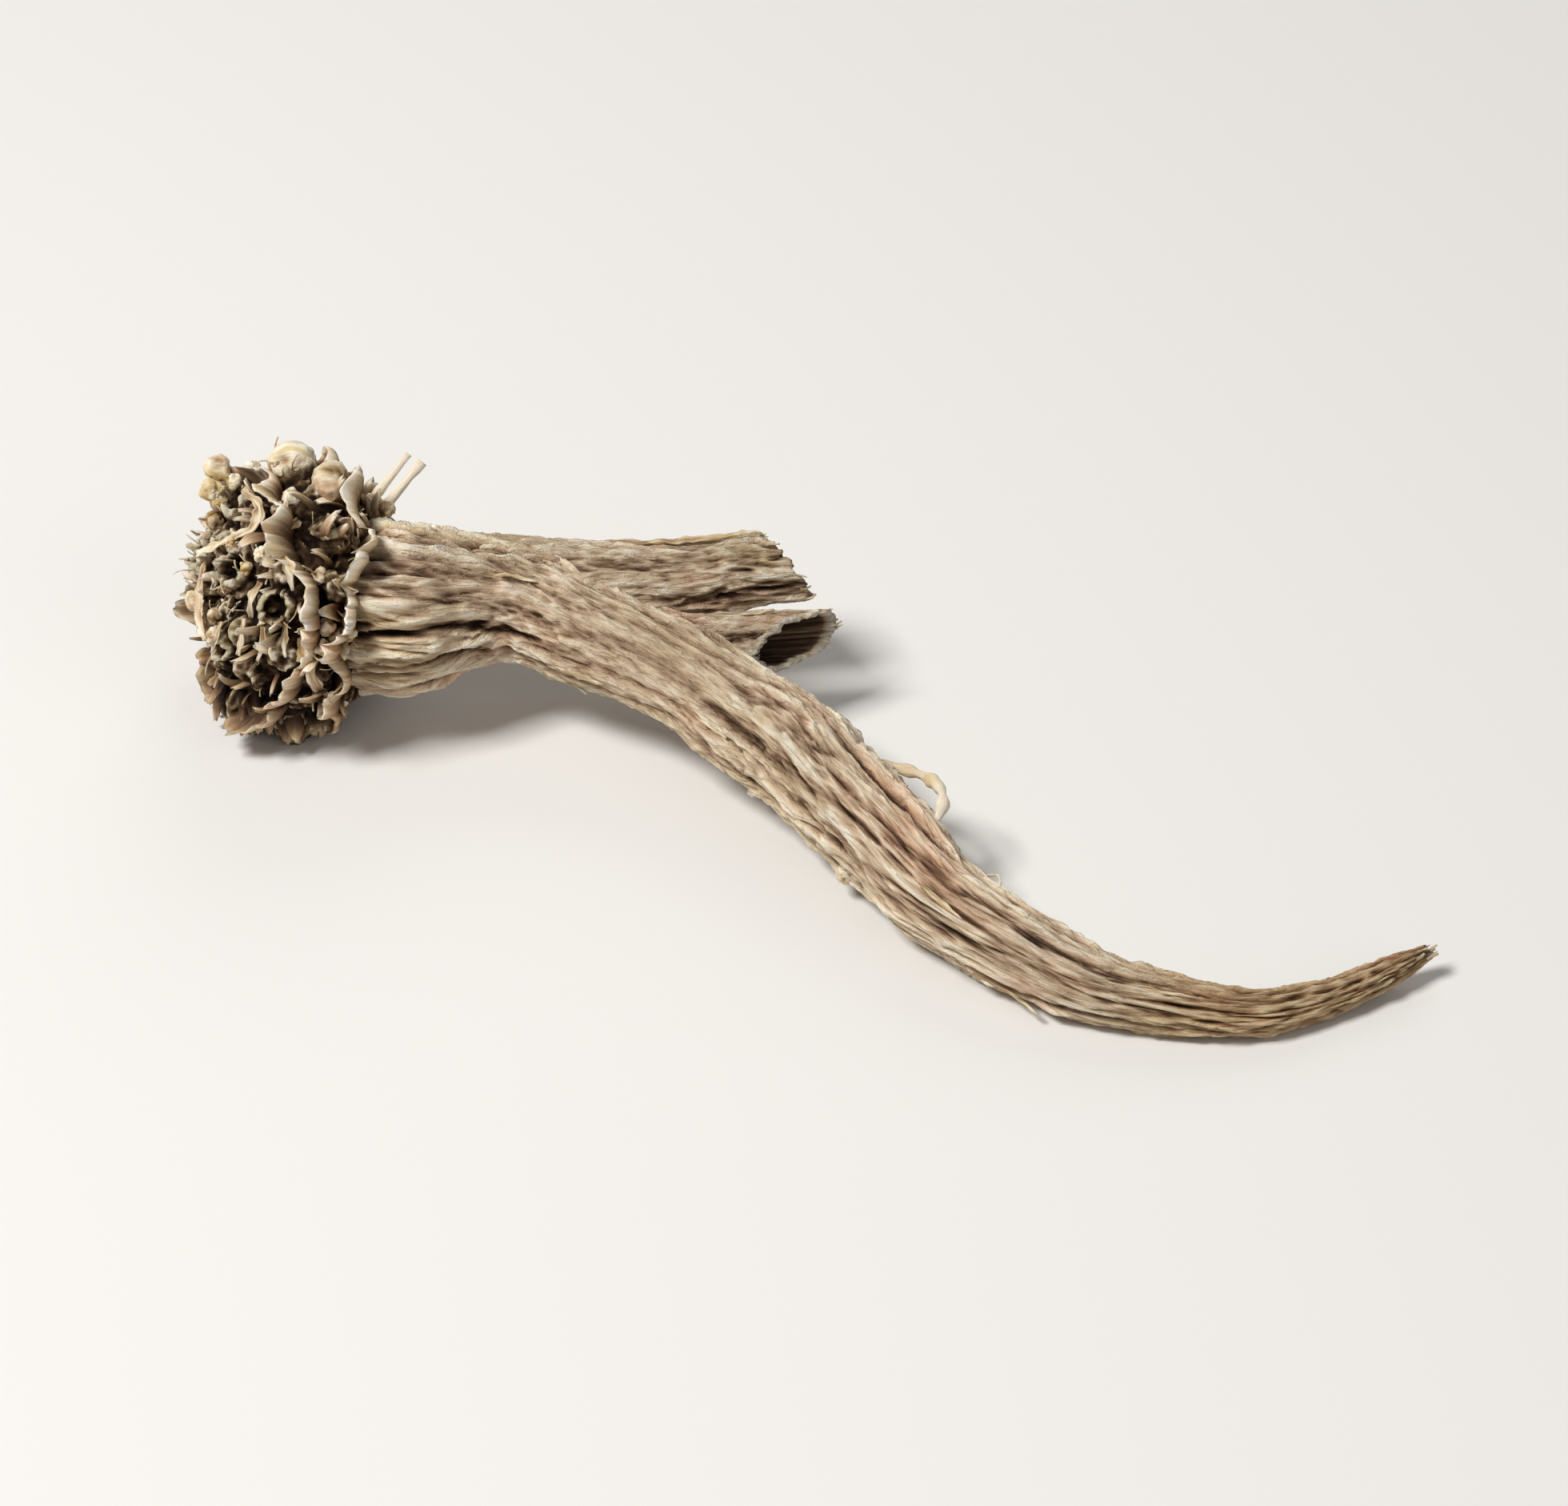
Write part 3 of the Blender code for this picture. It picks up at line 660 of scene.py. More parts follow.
def stem_stub(bm, base, ahead, radius, length):
    """Add the hollow stub of a stem, with a torn mouth that is lower on its near side."""
    turn = ahead.to_track_quat("Z", "Y").to_matrix()
    inside = radius - STEM_WALL
    outline = [
        (radius * 1.25, 0.0, 0.0), (radius * 1.04, length * 0.45, 0.1),
        (radius * 1.08, length * 0.75, 0.4), (radius * 1.02, length - 0.3, 0.9),
        (radius - STEM_WALL * 0.4, length, 1.0), (inside, length - 0.2, 1.0),
        (inside * 0.95, length - 1.2, 0.6), (inside * 0.75, length - 2.2, 0.35),
    ]
    rings = []
    for size, height, share in outline:
        ring = []
        for angle in turns(STEM_SIDES):
            side = turn @ Vector((cos(angle), sin(angle), 0.0))
            torn = 0.8 * noise(side * 2.2 + base) + 0.8 * noise(side * 4.5 + base)
            drop = STEM_SLANT * 0.5 * (1.0 + side.dot(STEM_LEAN))
            ribs = 1.0 + 0.05 * noise(side * 5.0 + base * 3.0)
            ring.append(base + side * size * ribs + ahead * (height + share * (torn - drop)))
        rings.append(ring)
    loft(bm, rings)


def remeshed(name, bm, voxel):
    """Fuse closed shells that overlap into one even skin, and return it as a mesh."""
    shells = finished_mesh(name, bm)
    holder = shown(name, shells)
    skin = holder.modifiers.new("skin", "REMESH")
    skin.mode = "VOXEL"
    skin.voxel_size = voxel
    graph = bpy.context.evaluated_depsgraph_get()
    mesh = bpy.data.meshes.new_from_object(holder.evaluated_get(graph))
    bpy.data.objects.remove(holder, do_unlink=True)
    bpy.data.meshes.remove(shells)
    mesh.name = name

    # Only the largest island is kept, so that no loose crumb of the skin is left over
    edges = read_mesh(mesh)[2]
    island = np.arange(len(mesh.vertices))
    while np.any(island[edges[:, 0]] != island[edges[:, 1]]):
        lowest = island[edges].min(axis=1)
        np.minimum.at(island, edges[:, 0], lowest)
        np.minimum.at(island, edges[:, 1], lowest)
        island = island[island]
    crumbs = np.flatnonzero(island != np.bincount(island).argmax())
    bm = bmesh.new()
    bm.from_mesh(mesh)
    bm.verts.ensure_lookup_table()
    bmesh.ops.delete(bm, geom=[bm.verts[i] for i in crumbs], context="VERTS")
    bm.to_mesh(mesh)
    bm.free()
    return mesh


def hollowness(points, normals, edges, rounds, reach):
    """How deep each point sits among its neighbours: over 0 in a pit, under 0 on a crest."""
    ends, others = np.concatenate([edges, edges[:, ::-1]]).T
    count = np.bincount(ends)[:, None]
    level = points
    for _ in range(rounds):
        sums = [np.bincount(ends, level[others, k]) for k in range(3)]
        level = 0.5 * (level + np.column_stack(sums) / count)
    return np.clip(np.sum((level - points) * normals, axis=1) / reach, -1.0, 1.0)


draw = Random(SEED)
mass = bmesh.new()
for corner, here in ball(mass, 5):
    way = here.normalized()
    lumps = 1.0 + 0.08 * noise(way * 2.6)
    corner.co = CROWN_CENTRE + way * crown_reach(way.angle(CROWN_AXIS)) * lumps
spread, count, smallest, largest = FACE_BUDS
for i in range(count):
    from_axis = radians(spread * sqrt((i + 0.5) / count))
    way = crown_direction(from_axis, i * GOLDEN_ANGLE + draw.uniform(-0.15, 0.15))
    bud(mass, from_axis, way, draw.uniform(smallest, largest), draw.uniform(*FACE_STRETCH))
for *span, smallest, largest in BUD_BELTS:
    for from_axis, way in belt(*span, 0.25, draw):
        radius = draw.uniform(smallest, largest)
        bud(mass, from_axis, way, radius, draw.uniform(*BELT_STRETCH))
for x, y, radius, height in FEET:
    for corner, here in ball(mass, 4):
        about = atan2(here.y, here.x)
        rough = 1.0 + 0.2 * noise(here * 1.7 + Vector((x, y, 0.0)))
        rough += 0.07 * sin(9.0 * about + 2.5 * noise(here * 2.0) + x)
        spot = Vector((here.x * radius, here.y * radius, here.z * height / 2)) * rough
        corner.co = spot + Vector((x, y, height / 2 - FOOT_CUT))
for degrees, turn, radius, stands in STEMS:
    from_axis = radians(degrees)
    stub_way = crown_direction(from_axis, radians(turn))
    stub_ahead = (stub_way + STEM_LEAN * 0.5).normalized()
    stub_base = crown_spot(from_axis, stub_way, STEM_ROOT)
    stub_length = stands + STEM_ROOT
    stem_stub(mass, stub_base, stub_ahead, radius, stub_length)
crown_mesh = remeshed("crown", mass, CROWN_VOXEL)

# The skin is crumbled and pitted, and more fibrous on its underside
points, normals, edges = read_mesh(crown_mesh)
reach_out = np.linalg.norm(points - CROWN_MIDDLE, axis=1)
crown_ways = (points - CROWN_MIDDLE) / reach_out[:, None]
from_axis = np.arccos(np.clip(crown_ways @ np.array(CROWN_AXIS), -1.0, 1.0))
stands_out = reach_out - [crown_reach(angle) for angle in from_axis]
stands_out = np.clip(stands_out / CROWN_RELIEF, -0.5, 1.0)
underside = smooth_step(-crown_ways[:, 2], 0.05, 0.65)
crumble = 0.13 * lattice_noise(points, 41) + 0.08 * lattice_noise(points / 0.45, 42)
crumble *= 1.0 - 0.7 * underside
fibrous = lattice_noise(crown_ways * 19.0 + reach_out[:, None] * 0.18, 79)
crumble += fibrous * (0.07 + 0.17 * underside)
holes = smooth_step(lattice_noise(points / 0.9, 83), 0.45, 0.8)
crumble -= 0.4 * holes * (1.0 - smooth_step(stands_out, 0.3, 0.6))
points += normals * crumble[:, None]
points[:, 2] = np.maximum(points[:, 2], 0.0)
crown_mesh.vertices.foreach_set("co", points.ravel())
crown_mesh.update()
crown_points, normals, edges = read_mesh(crown_mesh)
hollows = hollowness(crown_points, normals, edges, 6, 0.1)
hollows += hollowness(crown_points, normals, edges, 60, 0.6)
# Painted shade: the colour level is darker in pits and hollows, and darker on the underside
level = 0.27 + 0.5 * stands_out - 0.425 * hollows - 0.26 * underside
set_attributes(crown_mesh, grain=crown_points, height=np.clip(level, 0.0, 1.0))

# Crown tissue: dead pith and old leaf scars, dark brown in its gaps from painted shade, olive-grey
# to tan where it stands out, darker below from painted shade, with patches 3 mm wide. It is rough
# and crumbly all over, from crumbs of 0.4 mm down to grit of 0.14 mm
tissue, tree, shader, grain, height = new_material("crumbled_crown_tissue", 0.92, 0.2)
specks = noise_along(tree, grain, (2.6, 2.6, 2.6), 6.0, 0.7)
level = layered(tree, height, [(specks, 0.75), (1.0, -0.375)])
tone = add_node(tree, "ValToRGB", {"Fac": level}, [
    (0.0, "#120803"), (1.0, "#f3e6cc"), (0.25, "#301d0e"), (0.45, "#503a28"),
    (0.62, "#78624a"), (0.8, "#af9a7d")
])
patches = noise_along(tree, grain, (0.33, 0.33, 0.33), 2.0)
olive = tinted(tree, tone[0], patches, 0.46, 0.64, 0.55, "#cfcca6")
grit = noise_along(tree, grain, (7.0, 7.0, 7.0), 5.0, 0.7)
dress(tree, shader, olive, grit, 0.8, 0.0003)
add_piece("crown", crown_mesh, tissue)

# Frills.
# Two rings of dry leaf bases that grew joined at their roots: papery, fluted along their
# fibres, split and torn at their pale edges, and dark where they leave the crown.

# Angle from the crown's axis in degrees, lobes and height of each ring
FRILLS = [(98.0, 11, 2.7), (71.0, 9, 2.4)]
FRILL_COLUMNS = 540
FRILL_STEPS = 11
FRILL_ROOT = 1.2
FRILL_THICKNESS = 0.56
FRILL_THINNING = 0.32
FRILL_WAVE = 0.75
FRILL_CURL = 1.5
FRILL_WANDER = 0.24
FRILL_TEAR = 1.5
FRILL_CLEARANCE = 0.3


def marked_piece(name, bm, marks, material):
    """A piece from shells, where a mark gives each corner's grain place and tone."""
    places, tones = zip(*marks)
    mesh = finished_mesh(name, bm, grain=places, height=np.clip(tones, 0.0, 1.0))
    add_piece(name, mesh, material)


def frill(name, degrees, lobes, height, phase, material):
    """Add one ring of joined leaf bases as a piece, lobed and fluted and torn at its edge."""
    steps = [i / (FRILL_STEPS - 1) for i in range(FRILL_STEPS)]
    rings = []
    marks = []
    for up, face in [(up, -0.5) for up in steps] + [(up, 0.5) for up in reversed(steps)]:
        ring = []
        for turn in turns(FRILL_COLUMNS):
            about = turn - pi
            spot = Vector((cos(about), sin(about), phase)) * 2.2
            torn = min(1.25, max(0.2, 1.0 + FRILL_TEAR * noise(spot)))
            lobe = 0.5 + 0.5 * abs(cos(0.5 * lobes * about + phase)) ** 0.7
            ragged = 1.0 + 0.28 * noise(spot * 5.0) + 0.09 * noise(spot * 15.0)
            ragged -= 1.5 * max(0.0, noise(spot * 7.0) - 0.22)
            wave = sin(lobes * about + 2.0 * phase) + 1.2 * noise(spot * 1.7)
            from_axis = radians(degrees) + FRILL_WANDER * noise(spot * 0.6)
            way = crown_direction(from_axis, about)
            room = (CROWN_CENTRE.z - FRILL_CLEARANCE) / max(-way.z, 0.1)
            tall = min(height * torn * lobe * ragged, room - crown_reach(from_axis))
            rise = (tall + FRILL_ROOT) * sin(1.4 * up) - FRILL_ROOT
            fluting = 0.85 * noise(spot * 8.0 + UP * (0.3 * up))
            fluting += 0.4 * noise(spot * 17.0)
            thickness = FRILL_THICKNESS - FRILL_THINNING * up
            thickness *= 1.0 + 0.5 * noise(spot * 9.0)
            forward = FRILL_CURL * up ** 3 + FRILL_WAVE * wave * up - 0.3
            forward += 0.2 * fluting * up + 0.9 * noise(spot * 4.0) * up ** 2
            forward += face * thickness
            ring.append(crown_spot(from_axis, way, -rise) + CROWN_AXIS * forward)
            # Painted shade: the lower side of the ring is darker
            painted_shade = 0.2 * min(1.0, max(0.0, -1.6 * way.z))
            tone = 0.08 + 0.84 * up ** 1.6 + 0.22 * fluting - painted_shade
            marks.append(((about * 8.0, up * 2.5, face), tone))
        rings.append(ring)
    bm = bmesh.new()
    loft(bm, rings, closed=True)
    marked_piece(name, bm, marks, material)


# Dry plant tissue: matt and fibrous, dark where it leaves the root and pale where it is torn,
# with streaks along its veins, and rosy and ochre patches 3 mm wide
def make_dry_tissue(name, stops, vein_scale, rosy_most, ochre_most, roughness):
    tissue, tree, shader, grain, height = new_material(name, roughness, 0.3)
    veins = noise_along(tree, grain, vein_scale, 5.0, 0.65)
    level = layered(tree, height, [(veins, 0.5), (1.0, -0.25)])
    tone = add_node(tree, "ValToRGB", {"Fac": level}, stops)
    patches = noise_along(tree, grain, (0.3, 0.3, 0.3), 2.0)
    rosy = tinted(tree, tone[0], patches, 0.52, 0.65, rosy_most, "#ecc9b4")
    ochre = tinted(tree, rosy, patches, 0.46, 0.36, ochre_most, "#e6d08f")
    dress(tree, shader, ochre, veins, 0.6, 0.0002)
    return tissue


# Leaf base: papery, straw to cream at its torn edge, brown at its root, slightly glossy, with
# veins 0.2 mm wide and 1.2 mm long
leaf_base = make_dry_tissue("dry_leaf_base", [
    (0.0, "#1d1007"), (1.0, "#fdf6e7"), (0.22, "#483120"), (0.42, "#80654a"),
    (0.62, "#bca27f"), (0.8, "#e9d8ba")
], (5.0, 0.8, 1.0), 0.7, 0.6, 0.72)
phases = [draw.uniform(0.0, tau) for _ in FRILLS]
for i, (degrees, lobes, height) in enumerate(FRILLS):
    frill(f"frill_{i}", degrees, lobes, height, phases[i], leaf_base)

# Loose leaf bases.
# Single papery shreds of old leaf stalks that stand between the frills and round the face,
# gutter-shaped, curled and torn at their tips.

# From and to which angle from the crown's axis, count, and lengths and widths of the shreds
SHRED_BELTS = [
    (10.0, 44.0, 34, (0.9, 2.0), (0.35, 0.85)), (46.0, 68.0, 40, (1.2, 2.8), (0.4, 1.05)),
    (74.0, 94.0, 34, (1.8, 3.4), (0.6, 1.5)), (98.0, 110.0, 30, (1.8, 3.2), (0.6, 1.6)),
    (111.0, 134.0, 66, (1.5, 3.0), (0.6, 1.5)), (134.0, 152.0, 90, (1.6, 3.2), (0.6, 1.5)),
]
COLLAR = radians(134.0)
FOOT_SHREDS = 13
SHRED_CEILING = 19.3
SHRED_STEPS = 12

# No shred grows steeply down, or near the stub that holds the closed bud
STEEPEST = -0.75
ROUND_BUD = 0.88


def shred(bm, marks, base, heading, toward, length, width, curl, twist, seed, painted_shade):
    """Add one curled shred of leaf base, with a mark for each of its corners."""
    side = heading.cross(toward)
    if side.length < 0.05:
        side = heading.orthogonal()
    side.normalize()
    spot = base
    rings = []
    for k in range(SHRED_STEPS + 1):
        share = k / SHRED_STEPS
        size = width * (0.75 + 0.6 * sin(2.4 * share + 0.3) - 0.45 * share ** 2)
        size *= 1.0 + 0.25 * noise((share * 4.0, seed, 0.0))
        thick = 0.3 * (1.0 - 0.55 * share)
        flat = Matrix.Rotation(twist * share, 3, heading) @ side
        over = heading.cross(flat).normalized()
        ring = []
        for angle in turns(12):
            across = cos(angle)
            rise = thick * (0.5 * sin(angle) + 0.05 * cos(4.0 * angle + seed))
            rise += 0.32 * size * across * across
            fray = 0.55 * noise((across * 3.0, seed, 7.0)) * share ** 3
            fray *= min(1.0, length / 2.5)
            ring.append(spot + flat * (across * size * 0.5) + over * rise + heading * fray)
            place = (across * size + seed * 3.0, share * length, sin(angle))
            marks.append((place, 0.04 + 0.94 * share ** 0.9 - 0.1 * abs(across) - painted_shade))
        rings.append(ring)
        heading = (Matrix.Rotation(curl / SHRED_STEPS, 3, side) @ heading).normalized()
        spot = spot + heading * (length / SHRED_STEPS)
    loft(bm, rings)
    marks += [((seed * 3.0, 0.0, 0.0), 0.1), ((seed * 3.0, length, 0.0), 0.9)]


shreds = bmesh.new()
marks = []
tear = Random(SEED + 4)
for *span, lengths, widths in SHRED_BELTS:
    ranges = (lengths, widths, (-0.9, 1.7), (-0.9, 0.9), (0.1, 0.7), (-0.45, 0.45))
    for i, (from_axis, way) in enumerate(belt(*span, 0.45, tear)):
        length, width, curl, twist, forward, sideways = [tear.uniform(*r) for r in ranges]
        bare_collar = from_axis > COLLAR and way.y < 0.3
        if way.z < STEEPEST or way.dot(stub_way) > ROUND_BUD or bare_collar:
            continue
        heading = way + CROWN_AXIS * forward + way.cross(CROWN_AXIS) * sideways
        heading.normalize()
        base = crown_spot(from_axis, way, 0.5)
        length = min(length, (SHRED_CEILING - base.z) / max(heading.z, 0.05) - 0.6)
        length = min(length, (base.z - 1.0) / max(-heading.z, 0.05))
        outside = min(gap_to(np.array([base]), root)[0] for root in (TAPROOT, BRANCH))
        if length < 1.0 or outside < -0.8:
            continue
        seed = i * 1.37 + from_axis
        # Painted shade: shreds that point downwards are darker
        painted_shade = 0.3 * min(1.0, max(0.0, -1.6 * way.z))
        length += 0.5
        shred(shreds, marks, base, heading, CROWN_AXIS, length, width, curl, twist, seed, painted_shade)
for x, y, radius, height in FEET:
    for i in range(FOOT_SHREDS):
        about = tau * (i + tear.uniform(-0.35, 0.35)) / FOOT_SHREDS
        outward = Vector((cos(about), sin(about), 0.0))
        base = Vector((x, y, height * tear.uniform(0.45, 0.9))) + outward * radius * 0.95
        heading = (outward * tear.uniform(0.05, 0.6) - UP).normalized()
        length = min(tear.uniform(2.0, 3.8), base.z - 0.5)
        width, curl, twist = [tear.uniform(*r) for r in ((0.6, 1.4), (-0.6, 0.6), (-0.5, 0.5))]
        # Painted shade: every shred round the feet, low under the crown, is darker by 0.22
        shred(shreds, marks, base, heading, outward, length, width, curl, twist, x + i, 0.22)
marked_piece("loose_leaf_bases", shreds, marks, leaf_base)

# Nubs, ribbons and straws.
# Pale knobs and curled strips of dead tissue that lie over the crown, the closed round bud on
# top of it, and two broken straws of flower stalk.

# From and to which angle from the crown's axis, count, and least and greatest radius
NUB_BELTS = [(15.0, 60.0, 12, 0.35, 0.65), (66.0, 104.0, 14, 0.4, 0.75)]

# Base, direction, length and radius of each straw
STRAWS = [
    ((4.6, 3.2, 14.0), (0.62, 0.48, 0.61), 5.6, 0.38),
    ((5.4, 2.6, 13.6), (0.63, 0.46, 0.6), 5.8, 0.35),
]
STRAW_STEPS = 8
KNOB_RADIUS = 1.8
KNOB_SINK = 0.75
KNOB_DIMPLE = Vector((-0.35, -0.62, 0.7)).normalized()
VIEW_UP = np.array((0.0, 0.6157, 0.788))
VIEW_BACK = np.array((0.0, -0.788, 0.6157))

# How far from a direction or a place in the view points of the crown still count as there: the
# cosine of two degrees, and 0.4 mm squared
SAME_WAY = 0.9994
SAME_PLACE = 0.16

# Nubs and ribbons that show from the front: places across and up from the crown's middle as
# the camera sees it, how far they stand off its surface, how wide they are, and a nub's tone
FRONT_NUBS = [
    (3.1, 7.8, -0.2, 1.25, 0.62), (5.4, 6.7, 0.1, 0.65, 0.85), (6.6, 6.1, 0.0, 0.6, 0.7),
    (-5.5, 9.2, -0.3, 0.85, 0.85), (-5.9, 7.6, 0.1, 0.8, 0.8), (-4.6, 8.3, 0.2, 0.55, 0.9),
    (-3.6, 9.1, -0.1, 0.65, 0.85), (-6.0, 5.7, 0.0, 0.7, 0.45), (-0.1, 7.1, 0.1, 0.6, 0.8),
    (-1.2, 6.1, 0.1, 0.5, 0.75), (-2.0, 2.6, 0.2, 0.55, 0.9), (2.6, -2.6, 0.3, 0.6, 0.85),
    (2.3, -4.0, 0.2, 0.5, 0.75),
]
RIBBONS = [
    [(-3.7, 7.4, 0.5, 0.5), (-2.5, 6.4, 0.9, 0.7), (-2.4, 5.3, 0.9, 0.8),
     (-3.0, 4.3, 0.8, 0.7), (-4.1, 4.0, 0.7, 0.8), (-5.6, 3.4, 0.5, 0.6), (-7.3, 2.9, 0.3, 0.7)],
    [(0.6, 5.1, 0.3, 0.5), (-0.7, 3.8, 0.7, 0.8), (-1.3, 3.2, 0.7, 1.0), (-1.5, 2.3, 0.4, 0.8)],
    [(-0.5, 2.6, 0.4, 0.6), (0.1, 1.3, 0.6, 0.8), (0.3, 0.0, 0.3, 0.4)],
    [(-2.2, 0.6, -0.4, 0.5), (-2.8, -0.6, 0.4, 0.6), (-3.0, -1.9, -0.5, 0.4)],
    [(-6.6, 2.4, 0.3, 0.4), (-7.0, 1.0, 0.5, 0.8), (-7.1, -0.6, 0.5, 1.1),
     (-6.9, -2.0, 0.4, 1.3), (-6.5, -3.4, 0.2, 0.7)],
    [(1.2, -3.4, 0.5, 0.8), (0.8, -4.3, 0.8, 0.9), (1.4, -5.5, 0.7, 0.8),
     (1.9, -7.0, 0.6, 0.9), (3.7, -8.2, 0.3, 0.6)],
    [(-3.4, -2.0, 0.3, 0.4), (-3.6, -3.4, 0.4, 0.5), (-3.9, -4.6, 0.2, 0.3)],
    [(-1.9, -2.6, 0.3, 0.4), (-2.0, -4.0, 0.4, 0.5), (-2.5, -5.0, 0.2, 0.3)],
    [(-0.2, -2.4, -0.1, 0.4), (-0.4, -3.6, 0.4, 0.5), (-0.3, -4.8, -0.2, 0.3)],
    [(-5.2, -2.2, 0.3, 0.4), (-5.6, -3.4, 0.4, 0.5), (-6.0, -4.4, 0.2, 0.3)],
]
RIBBON_GAP = 0.22
RIBBON_EASE = 4
RIBBON_SIDES = 14
RIBBON_THICKNESS = 0.2
RIBBON_FOLD = 0.26


def crown_top(way):
    """Distance from the crown's middle to its outermost surface, going one way."""
    aligned = crown_points[crown_ways @ np.array(way) > SAME_WAY]
    if not len(aligned):
        return crown_reach(way.angle(CROWN_AXIS))
    return float(np.linalg.norm(aligned - CROWN_MIDDLE, axis=1).max())


def seen_depth(across, up):
    """How far towards the camera the crown's surface lies behind a place in the view."""
    offsets = crown_points - CROWN_MIDDLE
    flat = (offsets[:, 0] - across) ** 2 + (offsets @ VIEW_UP - up) ** 2
    return float((offsets[flat <= max(SAME_PLACE, flat.min())] @ VIEW_BACK).max())


def seen_spot(across, up, depth):
    """The spot at a place in the view of the crown and a depth towards the camera."""
    return Vector(CROWN_MIDDLE + VIEW_UP * up + VIEW_BACK * depth) + Vector((across, 0.0, 0.0))


def nub(bm, marks, middle, radius, tone):
    """Add a small pale knob, lumpy and a little drawn out."""
    pull = Vector([noise(middle * scale) for scale in (1.0, 1.7, 2.3)])
    for corner, here in ball(bm, 4):
        crumple = 0.42 * noise(here * 1.2 + middle) - 0.3 * abs(noise(here * 2.6))
        crumple += 0.14 * noise(here * 5.0 + middle)
        corner.co = middle + here * radius * (1.1 + crumple + 0.9 * here.dot(pull))
        place = Vector((here.x * 0.5, here.y * 3.0, here.z * 2.4)) * radius + middle
        marks.append((place, tone + 1.1 * crumple))


def traced(line):
    """Each point of a line with the way the line goes, its length and its share up to there."""
    last = len(line) - 1
    reach = 0.0
    for k, spot in enumerate(line):
        before = line[max(k - 1, 0)]
        reach += (spot - before).length
        yield spot, (line[min(k + 1, last)] - before).normalized(), reach, k / last


def ribbon(bm, marks, spots, outwards, widths, fold, tones):
    """Add a strip with a lens-shaped section along a line, its edges folded outwards."""
    seed = spots[0].x
    rings = []
    for (spot, ahead, reach, share), outward, width in zip(traced(spots), outwards, widths):
        across = ahead.cross(outward).normalized()
        tilt = 0.7 * noise((reach * 0.6, seed, 3.0))
        across = (across + across.cross(ahead) * tilt).normalized()
        over = across.cross(ahead)
        ring = []
        for angle in turns(RIBBON_SIDES):
            side = cos(angle)
            rough = noise((side * 2.2, reach * 1.1, seed))
            fray = noise((reach * 2.8, copysign(5.0, side), seed))
            wide = 0.5 * width * side * (1.0 + 0.5 * rough + 0.6 * fray)
            rise = (0.5 + 0.5 * rough) * RIBBON_THICKNESS * sin(angle)
            ring.append(spot + across * wide + over * (rise + fold * width * side ** 2))
            tone = tones[0] + (tones[1] - tones[0]) * share + 0.45 * rough
            marks.append(((wide * 2.5 + seed, reach * 0.6, sin(angle)), tone))
        rings.append(ring)
    loft(bm, rings)
    marks += [((seed, 0.0, 0.0), tones[0]), ((seed, reach, 0.0), tones[1])]


def strand(bm, marks, line, radius, sides, tones, taper=0.4):
    """Add a thin uneven strand along a line of points, thinner towards its tip."""
    side = (line[1] - line[0]).orthogonal()
    rings = []
    for k, (spot, ahead, reach, share) in enumerate(traced(line)):
        side = (side - ahead * side.dot(ahead)).normalized()
        over = ahead.cross(side)
        rough = noise((reach / (2.5 * radius), radius * 40.0, line[0].x))
        size = radius * (1.0 - taper * share) * (1.0 + 0.6 * rough)
        tone = tones[0] + (tones[1] - tones[0]) * share
        ring = []
        for angle in turns(sides):
            ring.append(spot + (side * cos(angle) + over * sin(angle)) * size)
            marks.append(((cos(angle), k * 0.3, sin(angle)), tone))
        rings.append(ring)
    loft(bm, rings)
    marks += [((0.0, 0.0, 0.0), tones[0]), ((0.0, 1.0, 0.0), tones[1])]


trimmings = bmesh.new()
marks = []
stray = Random(SEED + 9)
for *span, smallest, largest in NUB_BELTS:
    for _, way in belt(*span, 0.4, stray):
        radius = stray.uniform(smallest, largest)
        tone = stray.uniform(0.45, 0.8)
        if way.z > -0.3:
            middle = CROWN_CENTRE + way * (crown_top(way) + radius * 0.1)
            nub(trimmings, marks, middle, radius, tone)
for across, up, lift, radius, tone in FRONT_NUBS:
    middle = seen_spot(across, up, seen_depth(across, up) + lift)
    nub(trimmings, marks, middle, radius, tone)
for stations in RIBBONS:
    rows, along = sample_path(stations, RIBBON_GAP)
    depths = [seen_depth(across, up) + lift for across, up, lift, width in rows]
    held = np.pad(depths, RIBBON_EASE, mode="edge")
    near_by = 2 * RIBBON_EASE + 1
    depths = sum(held[k:k + len(rows)] for k in range(near_by)) / near_by
    spots = [seen_spot(row[0], row[1], depth) for row, depth in zip(rows, depths)]
    outwards = [(spot - CROWN_CENTRE).normalized() + Vector(VIEW_BACK) for spot in spots]
    wavy = [0.9 + 0.45 * noise((reach * 1.3, stations[0][0], 4.0)) for reach in along]
    ribbon(trimmings, marks, spots, outwards, rows[:, 3] * wavy, RIBBON_FOLD, (0.5, 0.85))

# The closed bud on top, in the mouth of the highest stub
middle = stub_base + stub_ahead * (stub_length - KNOB_SINK)
for corner, here in ball(trimmings, 5):
    lumps = 1.0 + 0.15 * noise(here * 1.4) + 0.04 * noise(here * 3.1)
    lumps -= 0.34 * exp(-((here.angle(KNOB_DIMPLE) / 0.3) ** 2))
    corner.co = middle + here * KNOB_RADIUS * lumps
    marks.append(((here.x * 0.8, here.y * 5.0, here.z * 4.0), 0.88 + 1.3 * (lumps - 1.0)))
for base, heading, length, radius in STRAWS:
    step = Vector(heading).normalized() * (length / STRAW_STEPS)
    line = [Vector(base) + step * k for k in range(STRAW_STEPS + 1)]
    strand(trimmings, marks, line, radius, 14, (0.75, 1.0), 0.15)

